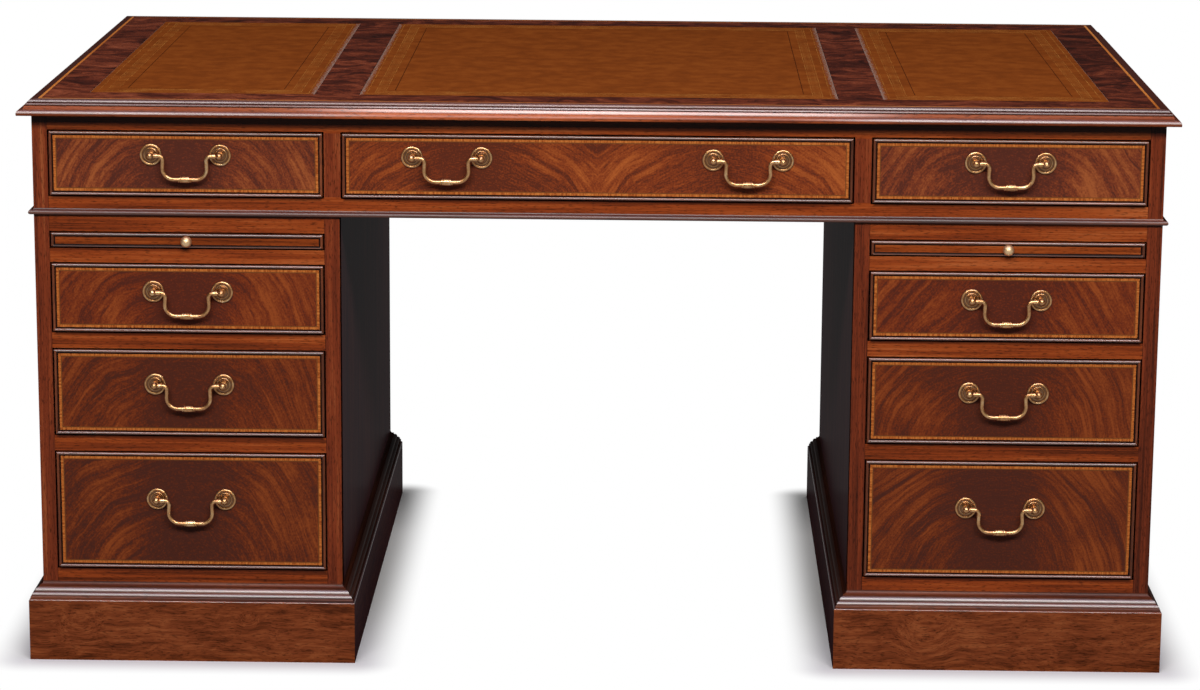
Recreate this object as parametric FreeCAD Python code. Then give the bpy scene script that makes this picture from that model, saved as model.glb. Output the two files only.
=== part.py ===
import FreeCAD, Part
import math
import os

from FreeCAD import Vector

# Pedestal desk with a leather top, nine drawers and two brushing slides.
# Millimetres. X runs to the right, Y to the back and Z up. The origin is on the floor, under the middle.

# Carcass, width and depth
KNEEHOLE_WIDTH = 680.0
PEDESTAL_WIDTH = 404.5
CASE_DEPTH = 879.4
SIDE_THICK = 20.0
FRAME_DEPTH = 22.0
BACK_THICK = 18.0
BOARD_THICK = 18.0
MUNTIN_WIDTH = 22.0
RUNNER_WIDTH = 18.0
RUNNER_THICK = 17.0

# Heights of a pedestal, from the floor up
PLINTH_HEIGHT = 84.0
BASE_RAIL = 40.0
LOWER_OPENING = 163.3
MIDDLE_OPENING = 119.7
UPPER_OPENING = 95.5
RAIL_HEIGHT = 21.0
SLIDE_RAIL = 19.0
SLIDE_OPENING = 22.8
TOP_RAIL = 22.7

# Heights of the frieze section
FRIEZE_BOTTOM_RAIL = 24.0
FRIEZE_OPENING = 89.0
FRIEZE_TOP_RAIL = 22.0

# Top board and its moulded edge, from the upper arris down to the nose
TOP_THICK = 18.0
TOP_OVERHANG = 17.5
EDGE_OVOLO = 3.6
EDGE_FILLET = 1.0
EDGE_BEAD = 2.2
EDGE_QUIRK = 1.0
EDGE_COVE = 4.0
LIPPING_WIDTH = 8.0
STRING_WIDTH = 3.5
STRING_THICK = 1.5

# Leather panels let into the top
LEATHER_THICK = 1.2
LEATHER_BORDER = 67.0
LEATHER_BAND = 59.0
LEATHER_SIDE_WIDTH = 300.0

# Bead moulding round the foot of the frieze
WAIST_COVE = 2.0
WAIST_NOSE = 3.0
WAIST_LAND = 1.5

# Plinth and its cap moulding, from the plinth's ledge up to the cove
PLINTH_STEP = 17.5
PLINTH_INNER = 20.0
PLINTH_ARRIS = 1.6
CAP_LEDGE = 2.0
CAP_FILLET = 2.8
CAP_BEAD = 1.5
CAP_QUIRK = 0.7
CAP_OVOLO = 4.0
CAP_TORUS = 5.0
CAP_UPPER_FILLET = 2.3

# Drawers: fronts with a cock bead, dovetailed linings and a loose bottom
FRONT_THICK = 20.0
FRONT_GAP = 2.0
BEAD_THICK = 3.6
BEAD_DEPTH = 5.0
BEAD_PROUD = 2.2
LAP_WALL = 2.0
LINING_THICK = 10.0
BOTTOM_THICK = 6.0
BOTTOM_RAISE = 6.0
GROOVE_DEPTH = 4.0
GROOVE_CLEAR = 0.2
RUN_CLEAR = 0.3
TOP_CLEAR = 3.0
DRAWER_REAR_SPACE = 150.0
STOP_DEPTH = 12.0
STOP_HEIGHT = 8.0
TAIL_PITCH = 30.0
TAIL_SHARE = 0.6
TAIL_SLOPE_SHARE = 0.14
LEAST_TAILS = 2

# Brushing slides
SLIDE_THICK = 16.0
SLIDE_REAR_SPACE = 300.0
KNOB_RADIUS = 7.5
KNOB_STANDOFF = 9.0
KNOB_NECK = 3.4
KNOB_FLANGE = 5.2
KNOB_FLANGE_THICK = 1.4
KNOB_STEM = 2.2
KNOB_STEM_LENGTH = 12.0

# Handles: two rosettes and ball-headed posts that carry a swan-neck bail
POST_PITCH = 91.5
HANDLE_STANDOFF = 12.0
HANDLE_SHARE = 0.6
FRIEZE_HANDLE_SHARE = 0.64
CENTRE_HANDLE_OFFSET = 198.0
BALL_RADIUS = 4.6
POST_NECK = 3.4
BOLT_RADIUS = 2.5
BOLT_CLEAR = 0.15
BOLT_END = 1.5
NUT_WIDTH = 9.0
NUT_THICK = 3.0
ROSETTE_RADIUS = 14.6
ROSETTE_EDGE = 0.8
ROSETTE_RIM = 1.9
ROSETTE_DISH = 1.3
ROSETTE_RING = 1.1
ROSETTE_BOSS = 4.4
ROSETTE_BOSS_RISE = 2.2
PIN_RADIUS = 1.6
PIN_CLEAR = 0.05
PIN_PAST = 1.8
BAIL_CLEAR = 0.4
BAIL_RADIUS = 2.6
BAIL_DROP = 31.0
NECK_INSET = 17.5
NECK_FLARE = 2.0
NECK_BEND = 5.5
CORNER_BEND = 15.0
COLLAR_RADIUS = 3.3
COLLAR_LENGTH = 5.5
BARREL_LENGTH = 18.5
BARREL_RADIUS = 4.5
BARREL_NECK = 3.9
BARREL_SLANT = 3.8
BARREL_COLLAR = 1.8
BARREL_GROOVE = 0.8

# Glue line that each mitred length leaves at its ends
MITRE_LINE = 0.03

# How far every cutting shape runs past the wood it cuts
OVERRUN = 5.0

QUARTER_TURN = 90
HALF_TURN = 180
FULL_TURN = 360
UP = Vector(0, 0, 1)
RIGHT = Vector(1, 0, 0)

# Levels and planes that follow from the sizes above
BASE_TOP = PLINTH_HEIGHT + BASE_RAIL
LOWER_TOP = BASE_TOP + LOWER_OPENING
MIDDLE_BASE = LOWER_TOP + RAIL_HEIGHT
MIDDLE_TOP = MIDDLE_BASE + MIDDLE_OPENING
UPPER_BASE = MIDDLE_TOP + RAIL_HEIGHT
UPPER_TOP = UPPER_BASE + UPPER_OPENING
SLIDE_BASE = UPPER_TOP + SLIDE_RAIL
SLIDE_TOP = SLIDE_BASE + SLIDE_OPENING
PEDESTAL_TOP = SLIDE_TOP + TOP_RAIL
FRIEZE_BASE = PEDESTAL_TOP + FRIEZE_BOTTOM_RAIL
FRIEZE_TOP = FRIEZE_BASE + FRIEZE_OPENING
TOP_BASE = FRIEZE_TOP + FRIEZE_TOP_RAIL
HEIGHT = TOP_BASE + TOP_THICK

CASE_HALF = KNEEHOLE_WIDTH / 2 + PEDESTAL_WIDTH
CASE_FRONT = -CASE_DEPTH / 2
CASE_BACK = CASE_DEPTH / 2
FRAME_BACK = CASE_FRONT + FRAME_DEPTH
BACK_FACE = CASE_BACK - BACK_THICK
SIDE_BAY = (KNEEHOLE_WIDTH / 2 + SIDE_THICK, CASE_HALF - SIDE_THICK)
CENTRE_BAY_HALF = SIDE_BAY[0] - MUNTIN_WIDTH
FRONT_BACK = CASE_FRONT + FRONT_THICK
TAIL_TIP = CASE_FRONT + BEAD_DEPTH + LAP_WALL
DRAWER_REAR = BACK_FACE - DRAWER_REAR_SPACE
SLIDE_REAR = BACK_FACE - SLIDE_REAR_SPACE


def board(x, y, z):
    """A straight board that fills three ranges."""
    return Part.makeBox(x[1] - x[0], y[1] - y[0], z[1] - z[0], Vector(x[0], y[0], z[0]))


def joined(first, others):
    """One solid from pieces that touch or overlap."""
    return first.fuse(others).removeSplitter().Solids[0]


def mirrored(pair):
    """A range on the right, moved to the same place on the left."""
    return (-pair[1], -pair[0])


def inset(pair, margin):
    """A range with a margin taken off both ends."""
    return (pair[0] + margin, pair[1] - margin)


def outline(start, steps):
    """A closed face in the upright X, Z plane, drawn by straight and quarter-round steps.

    A flat step leaves along X and arrives along Z. An upright step does the reverse.
    """
    edges = []
    first = Vector(start[0], 0, start[1])
    here = first
    for kind, out, rise in steps:
        there = here + Vector(out, 0, rise)
        if kind == "line":
            edges.append(Part.makeLine(here, there))
        else:
            centre = here + (Vector(0, 0, rise) if kind == "flat" else Vector(out, 0, 0))
            spoke = (here - centre) + (there - centre)
            middle = centre + spoke.normalize() * abs(out)
            edges.append(Part.Arc(here, middle, there).toShape())
        here = there
    edges.append(Part.makeLine(here, first))
    return Part.Face(Part.Wire(edges))


def mitred_frame(section, half_x, half_y):
    """Four lengths of one moulding round a rectangle, mitred where they meet."""
    box = section.BoundBox
    inner = box.XMin - OVERRUN
    outer = box.XMax + OVERRUN
    lengths = []
    for turn, (reach, run) in enumerate([(half_x, half_y), (half_y, half_x)] * 2):
        near = run + inner - MITRE_LINE
        far = run + outer - MITRE_LINE
        corners = [(inner, -near), (outer, -far), (outer, far), (inner, near)]
        points = [Vector(out, along, box.ZMin - OVERRUN) for out, along in corners]
        plan = Part.Face(Part.makePolygon(points + points[:1]))
        wedge = plan.extrude(UP * (box.ZLength + OVERRUN + OVERRUN))
        bar = section.copy()
        bar.translate(Vector(0, -run - outer, 0))
        bar = bar.extrude(Vector(0, run + outer + run + outer, 0))
        length = bar.common(wedge).Solids[0]
        length.translate(Vector(reach, 0, 0))
        length.rotate(Vector(), UP, turn * QUARTER_TURN)
        lengths.append(length)
    return lengths


def moved(shapes, x, y, z):
    """Copies of some shapes at another place."""
    copies = [shape.copy() for shape in shapes]
    for copy in copies:
        copy.translate(Vector(x, y, z))
    return copies


def stood_up(shapes):
    """Copies of shapes drawn flat, turned so that their Z axis points out of the desk's front."""
    copies = [shape.copy() for shape in shapes]
    for copy in copies:
        copy.rotate(Vector(), RIGHT, QUARTER_TURN)
    return copies


def bore(radius, length, x, y, z):
    """A round cutter along Y, with its middle at a point."""
    return Part.makeCylinder(radius, length, Vector(x, y - length / 2, z), Vector(0, 1, 0))


# Top: a core panel, leather and string let in flush, and a moulded lipping all round


def leather_ranges():
    """The three leather panels' ranges in X, from left to right."""
    outer = CASE_HALF - LEATHER_BORDER
    side = (outer - LEATHER_SIDE_WIDTH, outer)
    centre = side[0] - LEATHER_BAND
    return {"left": mirrored(side), "centre": (-centre, centre), "right": side}


def leather_panel(x):
    """One hide, as thick as the pocket that it lies in."""
    y = inset((CASE_FRONT, CASE_BACK), LEATHER_BORDER)
    return board(x, y, (HEIGHT - LEATHER_THICK, HEIGHT))


def string_lines():
    """Pale string, four mitred strips at the core's upper edge."""
    section = outline((-STRING_WIDTH, -STRING_THICK), [
        ("line", STRING_WIDTH, 0),
        ("line", 0, STRING_THICK),
        ("line", -STRING_WIDTH, 0),
    ])
    strips = mitred_frame(section, CASE_HALF - LIPPING_WIDTH, CASE_DEPTH / 2 - LIPPING_WIDTH)
    return moved(strips, 0, 0, HEIGHT)


def top_core():
    """The core panel inside the lipping, with pockets for leather and string."""
    x = inset((-CASE_HALF, CASE_HALF), LIPPING_WIDTH)
    y = inset((CASE_FRONT, CASE_BACK), LIPPING_WIDTH)
    core = board(inset(x, STRING_WIDTH), inset(y, STRING_WIDTH), (TOP_BASE, HEIGHT))
    core = joined(core, [board(x, y, (TOP_BASE, HEIGHT - STRING_THICK))])
    return core.cut([leather_panel(panel) for panel in leather_ranges().values()])


def top_lipping():
    """The moulded edge: ovolo, fillet, bead, quirk, cove and nose, in four mitred lengths."""
    drop = EDGE_OVOLO + EDGE_BEAD + EDGE_QUIRK + EDGE_COVE
    nose = (TOP_THICK - drop) / 2
    shelf = TOP_OVERHANG - EDGE_OVOLO - EDGE_FILLET - EDGE_BEAD - EDGE_COVE - nose
    section = outline((-LIPPING_WIDTH, 0), [
        ("line", LIPPING_WIDTH, 0),
        ("flat", EDGE_OVOLO, -EDGE_OVOLO),
        ("line", EDGE_FILLET, 0),
        ("flat", EDGE_BEAD, -EDGE_BEAD),
        ("line", 0, -EDGE_QUIRK),
        ("upright", EDGE_COVE, -EDGE_COVE),
        ("line", shelf, 0),
        ("flat", nose, -nose),
        ("upright", -nose, -nose),
        ("line", nose - TOP_OVERHANG - LIPPING_WIDTH, 0),
    ])
    return moved(mitred_frame(section, CASE_HALF, CASE_DEPTH / 2), 0, 0, HEIGHT)


# Frieze section: ends, back, partitions, runners and kickers behind a rail-and-stile front


def frieze_bays():
    """The three drawer bays' ranges in X, from left to right."""
    return {
        "left": mirrored(SIDE_BAY),
        "centre": (-CENTRE_BAY_HALF, CENTRE_BAY_HALF),
        "right": SIDE_BAY,
    }


def bay_strips(bay, base, thick):
    """A strip along each side of a drawer bay, from the front frame to the back."""
    z = (base, base + thick)
    y = (FRAME_BACK, BACK_FACE)
    left = board((bay[0], bay[0] + RUNNER_WIDTH), y, z)
    right = board((bay[1] - RUNNER_WIDTH, bay[1]), y, z)
    return [left, right]


def bay_stops(bay, base, rear):
    """A block on each runner, just behind the drawer or slide that it stops."""
    y = (rear + RUN_CLEAR, rear + RUN_CLEAR + STOP_DEPTH)
    z = (base, base + STOP_HEIGHT)
    left = board((bay[0], bay[0] + RUNNER_WIDTH), y, z)
    right = board((bay[1] - RUNNER_WIDTH, bay[1]), y, z)
    return [left, right]


def frieze_carcass():
    """Ends, back, two partitions, the strips that drawers run on and under, and their stops."""
    z = (PEDESTAL_TOP, TOP_BASE)
    end = (CASE_HALF - SIDE_THICK, CASE_HALF)
    partition = (CENTRE_BAY_HALF, SIDE_BAY[0])
    pieces = [board(inset((-CASE_HALF, CASE_HALF), SIDE_THICK), (BACK_FACE, CASE_BACK), z)]
    for x in (end, mirrored(end)):
        pieces.append(board(x, (FRAME_BACK, CASE_BACK), z))
    for x in (partition, mirrored(partition)):
        pieces.append(board(x, (FRAME_BACK, BACK_FACE), z))
    for bay in frieze_bays().values():
        pieces += bay_strips(bay, FRIEZE_BASE - RUNNER_THICK, RUNNER_THICK)
        pieces += bay_strips(bay, FRIEZE_TOP, FRIEZE_TOP_RAIL)
        pieces += bay_stops(bay, FRIEZE_BASE, DRAWER_REAR)
    return pieces


def frieze_front_frame():
    """Two stiles, an upper and a lower rail between them, and two muntins."""
    y = (CASE_FRONT, FRAME_BACK)
    stile = (CASE_HALF - SIDE_THICK, CASE_HALF)
    muntin = (CENTRE_BAY_HALF, SIDE_BAY[0])
    rail = inset((-CASE_HALF, CASE_HALF), SIDE_THICK)
    pieces = [board(rail, y, (PEDESTAL_TOP, FRIEZE_BASE)), board(rail, y, (FRIEZE_TOP, TOP_BASE))]
    for x in (stile, mirrored(stile)):
        pieces.append(board(x, y, (PEDESTAL_TOP, TOP_BASE)))
    for x in (muntin, mirrored(muntin)):
        pieces.append(board(x, y, (FRIEZE_BASE, FRIEZE_TOP)))
    return pieces


def waist_moulding():
    """The small bead round the frieze's foot: a nose under a cove, in four mitred lengths."""
    section = outline((0, 0), [
        ("line", WAIST_COVE + WAIST_LAND, 0),
        ("flat", WAIST_NOSE, WAIST_NOSE),
        ("upright", -WAIST_NOSE, WAIST_NOSE),
        ("line", -WAIST_LAND, 0),
        ("flat", -WAIST_COVE, WAIST_COVE),
    ])
    return moved(mitred_frame(section, CASE_HALF, CASE_DEPTH / 2), 0, 0, PEDESTAL_TOP)


# Pedestals: each is drawn in the middle and moved to its side


def pedestal_case():
    """Two sides, a back, and the boards over and under the drawers."""
    half = PEDESTAL_WIDTH / 2
    inside = inset((-half, half), SIDE_THICK)
    side = (half - SIDE_THICK, half)
    z = (PLINTH_HEIGHT, PEDESTAL_TOP)
    y = (FRAME_BACK, BACK_FACE)
    pieces = [board(x, (FRAME_BACK, CASE_BACK), z) for x in (side, mirrored(side))]
    pieces.append(board(inside, (BACK_FACE, CASE_BACK), z))
    pieces.append(board(inside, y, (BASE_TOP - BOARD_THICK, BASE_TOP)))
    pieces.append(board(inside, y, (PEDESTAL_TOP - BOARD_THICK, PEDESTAL_TOP)))
    return pieces


def pedestal_front_frame():
    """Two stiles and the five rails between the openings."""
    half = PEDESTAL_WIDTH / 2
    inside = inset((-half, half), SIDE_THICK)
    stile = (half - SIDE_THICK, half)
    y = (CASE_FRONT, FRAME_BACK)
    rails = [
        (PLINTH_HEIGHT, BASE_TOP),
        (LOWER_TOP, MIDDLE_BASE),
        (MIDDLE_TOP, UPPER_BASE),
        (UPPER_TOP, SLIDE_BASE),
        (SLIDE_TOP, PEDESTAL_TOP),
    ]
    pieces = [board(x, y, (PLINTH_HEIGHT, PEDESTAL_TOP)) for x in (stile, mirrored(stile))]
    return pieces + [board(inside, y, rail) for rail in rails]


def pedestal_runners():
    """Runners level with each rail that a drawer or the slide runs on, and the stops behind them."""
    half = PEDESTAL_WIDTH / 2
    inside = inset((-half, half), SIDE_THICK)
    pieces = []
    for top in (MIDDLE_BASE, UPPER_BASE, SLIDE_BASE):
        pieces += bay_strips(inside, top - RUNNER_THICK, RUNNER_THICK)
    for base in (BASE_TOP, MIDDLE_BASE, UPPER_BASE):
        pieces += bay_stops(inside, base, DRAWER_REAR)
    return pieces + bay_stops(inside, SLIDE_BASE, SLIDE_REAR)


def plinth():
    """Four mitred plinth boards under the case, with a softened upper arris."""
    section = outline((-PLINTH_INNER, 0), [
        ("line", PLINTH_INNER + PLINTH_STEP, 0),
        ("line", 0, PLINTH_HEIGHT - PLINTH_ARRIS),
        ("upright", -PLINTH_ARRIS, PLINTH_ARRIS),
        ("line", PLINTH_ARRIS - PLINTH_STEP - PLINTH_INNER, 0),
    ])
    return mitred_frame(section, PEDESTAL_WIDTH / 2, CASE_DEPTH / 2)


def plinth_cap():
    """The cap moulding on the plinth's ledge: fillet, bead, two ovolos, fillet and cove."""
    foot = PLINTH_STEP - CAP_LEDGE
    cove = foot - CAP_BEAD - CAP_OVOLO - CAP_TORUS
    section = outline((0, 0), [
        ("line", foot, 0),
        ("line", 0, CAP_FILLET),
        ("upright", -CAP_BEAD, CAP_BEAD),
        ("line", 0, CAP_QUIRK),
        ("upright", -CAP_OVOLO, CAP_OVOLO),
        ("line", 0, CAP_QUIRK),
        ("upright", -CAP_TORUS, CAP_TORUS),
        ("line", 0, CAP_UPPER_FILLET),
        ("flat", -cove, cove),
    ])
    return moved(mitred_frame(section, PEDESTAL_WIDTH / 2, CASE_DEPTH / 2), 0, 0, PLINTH_HEIGHT)


# Drawers and slides


def cock_beads(x, z):
    """Four mitred beads let into the edge of a front and standing proud of it."""
    half_round = BEAD_THICK / 2
    section = outline((-BEAD_THICK, -BEAD_DEPTH), [
        ("line", BEAD_THICK, 0),
        ("line", 0, BEAD_DEPTH + BEAD_PROUD - half_round),
        ("upright", -half_round, half_round),
        ("flat", -half_round, -half_round),
    ])
    beads = stood_up(mitred_frame(section, (x[1] - x[0]) / 2, (z[1] - z[0]) / 2))
    return moved(beads, (x[0] + x[1]) / 2, CASE_FRONT, (z[0] + z[1]) / 2)


def rebated_front(x, z):
    """A front board whose edge is cut back all round for the cock beads."""
    step = CASE_FRONT + BEAD_DEPTH
    back = board(x, (step, FRONT_BACK), z)
    face = board(inset(x, BEAD_THICK), (CASE_FRONT, step), inset(z, BEAD_THICK))
    return joined(back, [face])


def dovetails(x, shoulder, tip, z):
    """Tails spread up a corner, narrow at the shoulder and wide at the tip."""
    count = max(LEAST_TAILS, round((z[1] - z[0]) / TAIL_PITCH))
    pitch = (z[1] - z[0]) / count
    root = pitch * TAIL_SHARE / 2
    wide = root + abs(tip - shoulder) * TAIL_SLOPE_SHARE
    tails = []
    for index in range(count):
        middle = z[0] + (index + 0.5) * pitch
        lower = [(shoulder, middle - root), (tip, middle - wide)]
        corners = lower + [(tip, middle + wide), (shoulder, middle + root)]
        points = [Vector(x[0], along, level) for along, level in corners]
        tails.append(Part.Face(Part.makePolygon(points + points[:1])).extrude(RIGHT * (x[1] - x[0])))
    return tails


class Drawer:
    """The ranges of one drawer, worked out from the opening that it fills."""

    def __init__(self, bay, base, height, handle_share, handle_offsets):
        self.front_x = inset(bay, FRONT_GAP)
        self.front_z = inset((base, base + height), FRONT_GAP)
        left, right = self.front_x
        self.left_side = (left, left + LINING_THICK)
        self.right_side = (right - LINING_THICK, right)
        self.lining_z = (base + RUN_CLEAR, base + height - TOP_CLEAR)
        self.bottom_z = (self.lining_z[0] + BOTTOM_RAISE, self.lining_z[0] + BOTTOM_RAISE + BOTTOM_THICK)
        self.tail_z = (self.bottom_z[1], self.lining_z[1])
        self.handle_level = base + height * handle_share
        self.handles = [(bay[0] + bay[1]) / 2 + offset for offset in handle_offsets]

    def post_places(self):
        """Where the handle posts stand across the front."""
        return [x + side * POST_PITCH / 2 for x in self.handles for side in (-1, 1)]

    def corner_tails(self, shoulder, tip):
        """The tails of both sides at one end of the drawer."""
        left = dovetails(self.left_side, shoulder, tip, self.tail_z)
        return left, dovetails(self.right_side, shoulder, tip, self.tail_z)

    def bottom_groove(self, x, y):
        """The space that the bottom board takes out of a neighbour."""
        return board(x, y, self.bottom_z)

    def front(self):
        """The front board with its sockets, groove and bolt holes, and the beads round it."""
        left, right = self.corner_tails(FRONT_BACK, TAIL_TIP)
        groove_x = inset(self.front_x, LINING_THICK - GROOVE_DEPTH)
        groove = self.bottom_groove(groove_x, (FRONT_BACK - GROOVE_DEPTH, FRONT_BACK))
        middle = (CASE_FRONT + FRONT_BACK) / 2
        drill = FRONT_THICK + OVERRUN
        holes = [
            bore(BOLT_RADIUS + BOLT_CLEAR, drill, x, middle, self.handle_level) for x in self.post_places()
        ]
        blank = rebated_front(self.front_x, self.front_z).cut(left + right + [groove] + holes)
        return [blank] + cock_beads(self.front_x, self.front_z)

    def box(self):
        """Two sides, a back and a bottom."""
        rear_shoulder = DRAWER_REAR - LINING_THICK
        run = (FRONT_BACK, rear_shoulder)
        front_tails = self.corner_tails(FRONT_BACK, TAIL_TIP)
        rear_tails = self.corner_tails(rear_shoulder, DRAWER_REAR)
        groove_x = inset(self.front_x, LINING_THICK - GROOVE_DEPTH)
        groove = self.bottom_groove(groove_x, run)
        pieces = []
        for side, fore, aft in zip((self.left_side, self.right_side), front_tails, rear_tails):
            plank = board(side, run, self.lining_z).cut(groove)
            pieces.append(joined(plank, fore + aft))
        back = board(self.front_x, (rear_shoulder, DRAWER_REAR), self.tail_z)
        pieces.append(back.cut(rear_tails[0] + rear_tails[1]))
        bottom_x = inset(groove_x, GROOVE_CLEAR)
        bottom_y = (FRONT_BACK - GROOVE_DEPTH + GROOVE_CLEAR, DRAWER_REAR)
        pieces.append(board(bottom_x, bottom_y, self.bottom_z))
        return pieces


def slide_board(bay):
    """A brushing slide: a beaded front, bored for its knob, and the sliding board behind it."""
    x = inset(bay, FRONT_GAP)
    z = inset((SLIDE_BASE, SLIDE_TOP), FRONT_GAP)
    middle = (bay[0] + bay[1]) / 2
    depth = KNOB_STEM_LENGTH + GROOVE_CLEAR
    hole = bore(KNOB_STEM + BOLT_CLEAR, depth, middle, CASE_FRONT + depth / 2, (SLIDE_BASE + SLIDE_TOP) / 2)
    front = rebated_front(x, z).cut(hole)
    leaf_z = (SLIDE_BASE + RUN_CLEAR, SLIDE_BASE + RUN_CLEAR + SLIDE_THICK)
    leaf = board(x, (FRONT_BACK, SLIDE_REAR), leaf_z)
    return [front, leaf] + cock_beads(x, z)


def slide_knob(bay):
    """A turned brass knob: stem, flange, neck and ball."""
    flange = Part.makeCylinder(KNOB_FLANGE, KNOB_FLANGE_THICK)
    stem = Part.makeCylinder(KNOB_STEM, KNOB_STEM_LENGTH, Vector(0, 0, -KNOB_STEM_LENGTH))
    neck = Part.makeCylinder(KNOB_NECK, KNOB_STANDOFF)
    ball = Part.makeSphere(KNOB_RADIUS, Vector(0, 0, KNOB_STANDOFF))
    knob = stood_up([joined(flange, [stem, neck, ball])])
    return moved(knob, (bay[0] + bay[1]) / 2, CASE_FRONT, (SLIDE_BASE + SLIDE_TOP) / 2)


# Handles, drawn about the middle of the bail's axis with Z pointing out of the drawer front


def rosette():
    """A turned rosette: a rolled rim, a ring and a boss round the bolt hole."""
    hole = BOLT_RADIUS + BOLT_CLEAR
    inner_dish = ROSETTE_RADIUS - 2 * ROSETTE_RIM - ROSETTE_DISH - 2 * ROSETTE_RING - ROSETTE_BOSS
    section = outline((hole, 0), [
        ("line", ROSETTE_RADIUS - hole, 0),
        ("line", 0, ROSETTE_EDGE),
        ("upright", -ROSETTE_RIM, ROSETTE_RIM),
        ("flat", -ROSETTE_RIM, -ROSETTE_RIM),
        ("line", -ROSETTE_DISH, 0),
        ("upright", -ROSETTE_RING, ROSETTE_RING),
        ("flat", -ROSETTE_RING, -ROSETTE_RING),
        ("line", -inner_dish, 0),
        ("line", 0, ROSETTE_BOSS_RISE),
        ("line", hole - ROSETTE_BOSS, 0),
    ])
    return section.revolve(Vector(), UP, FULL_TURN)


def post():
    """A bolt with a ball head, bored from the right for the bail's pin."""
    seat = ROSETTE_EDGE + ROSETTE_BOSS_RISE
    tail = FRONT_THICK + NUT_THICK + BOLT_END
    bolt = Part.makeCylinder(BOLT_RADIUS, tail + seat, Vector(0, 0, -tail))
    neck = Part.makeCylinder(POST_NECK, HANDLE_STANDOFF - seat, Vector(0, 0, seat))
    ball = Part.makeSphere(BALL_RADIUS, Vector(0, 0, HANDLE_STANDOFF))
    blind_end = PIN_PAST + BAIL_CLEAR
    drill = BALL_RADIUS + OVERRUN + blind_end
    hole = Part.makeCylinder(PIN_RADIUS + PIN_CLEAR, drill, Vector(-blind_end, 0, HANDLE_STANDOFF), RIGHT)
    return joined(bolt, [neck, ball]).cut(hole)


def nut():
    """A square nut behind the drawer front."""
    half = NUT_WIDTH / 2
    block = board((-half, half), (-half, half), (-FRONT_THICK - NUT_THICK, -FRONT_THICK))
    hole = Part.makeCylinder(BOLT_RADIUS + BOLT_CLEAR, NUT_THICK, Vector(0, 0, -FRONT_THICK - NUT_THICK))
    return block.cut(hole)


def handle_fixings():
    """Two rosettes, posts and nuts of one handle. The right post is bored towards the left."""
    pieces = []
    for side, turn in ((-1, 0), (1, HALF_TURN)):
        group = [rosette(), post(), nut()]
        for piece in group:
            piece.rotate(Vector(), UP, turn)
        pieces += moved(group, side * POST_PITCH / 2, 0, 0)
    return stood_up(pieces)


def bent_path(points, radii):
    """Straight runs through the points, joined by tangent arcs at the inner ones."""
    edges = []
    start = points[0]
    for before, corner, after, radius in zip(points, points[1:], points[2:], radii):
        back = (before - corner).normalize()
        ahead = (after - corner).normalize()
        half_angle = back.getAngle(ahead) / 2
        reach = radius / math.tan(half_angle)
        inward = (back + ahead).normalize()
        first = corner + back * reach
        last = corner + ahead * reach
        crown = corner + inward * (radius / math.sin(half_angle) - radius)
        edges.append(Part.makeLine(start, first))
        edges.append(Part.Arc(first, crown, last).toShape())
        start = last
    edges.append(Part.makeLine(start, points[-1]))
    return Part.Wire(edges)


def slanted_slab(inner, outer):
    """A slab across the grip between two slanted planes, given where they cross its axis."""
    tall = BARREL_RADIUS + OVERRUN
    lean = tall * BARREL_SLANT / (BARREL_RADIUS + BARREL_RADIUS)
    lower = [(inner + lean, -tall), (outer + lean, -tall)]
    corners = lower + [(outer - lean, tall), (inner - lean, tall)]
    points = [Vector(x, -tall, z) for x, z in corners]
    return Part.Face(Part.makePolygon(points + points[:1])).extrude(Vector(0, tall + tall, 0))


def bail_barrel():
    """The swelling in the middle of the grip: longer below, with a slanted groove and collar at each end."""
    half = BARREL_LENGTH / 2
    left = Vector(-half, 0, BARREL_NECK)
    right = Vector(half, 0, BARREL_NECK)
    curve = Part.Arc(left, Vector(0, 0, BARREL_RADIUS), right).toShape()
    base = Part.makePolygon([right, Vector(half, 0, 0), Vector(-half, 0, 0), left])
    body = Part.Face(Part.Wire([curve] + base.Edges)).revolve(Vector(), RIGHT, FULL_TURN)
    end = half - BARREL_SLANT / 2
    groove = slanted_slab(end - BARREL_COLLAR - BARREL_GROOVE, end - BARREL_COLLAR)
    waste = slanted_slab(end, end + BARREL_LENGTH)
    cuts = []
    for cutter in (groove, waste):
        opposite = cutter.copy()
        opposite.rotate(Vector(), UP, HALF_TURN)
        cuts += [cutter, opposite]
    return body.cut(cuts).Solids


def bail():
    """A swan-neck bail, hanging from the middle of its axis, with a pin at each end."""
    reach = POST_PITCH / 2 - BALL_RADIUS - BAIL_CLEAR
    neck = POST_PITCH / 2 - NECK_INSET
    hip = neck + NECK_FLARE
    right_side = [(hip, -BAIL_DROP), (neck, 0), (reach, 0)]
    left_side = [(-x, z) for x, z in reversed(right_side)]
    points = [Vector(x, 0, z) for x, z in left_side + right_side]
    path = bent_path(points, [NECK_BEND, CORNER_BEND, CORNER_BEND, NECK_BEND])
    ring = Part.Wire(Part.Circle(points[0], RIGHT, BAIL_RADIUS).toShape())
    rod = path.makePipeShell([ring], True, False)
    additions = moved(bail_barrel(), 0, 0, -BAIL_DROP)
    for side in (-1, 1):
        outward = RIGHT * side
        inner_end = outward * (reach - COLLAR_LENGTH)
        additions.append(Part.makeCylinder(COLLAR_RADIUS, COLLAR_LENGTH, inner_end, outward))
        pin_length = POST_PITCH / 2 + PIN_PAST - reach
        additions.append(Part.makeCylinder(PIN_RADIUS, pin_length, outward * reach, outward))
    return joined(rod, additions)


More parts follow.
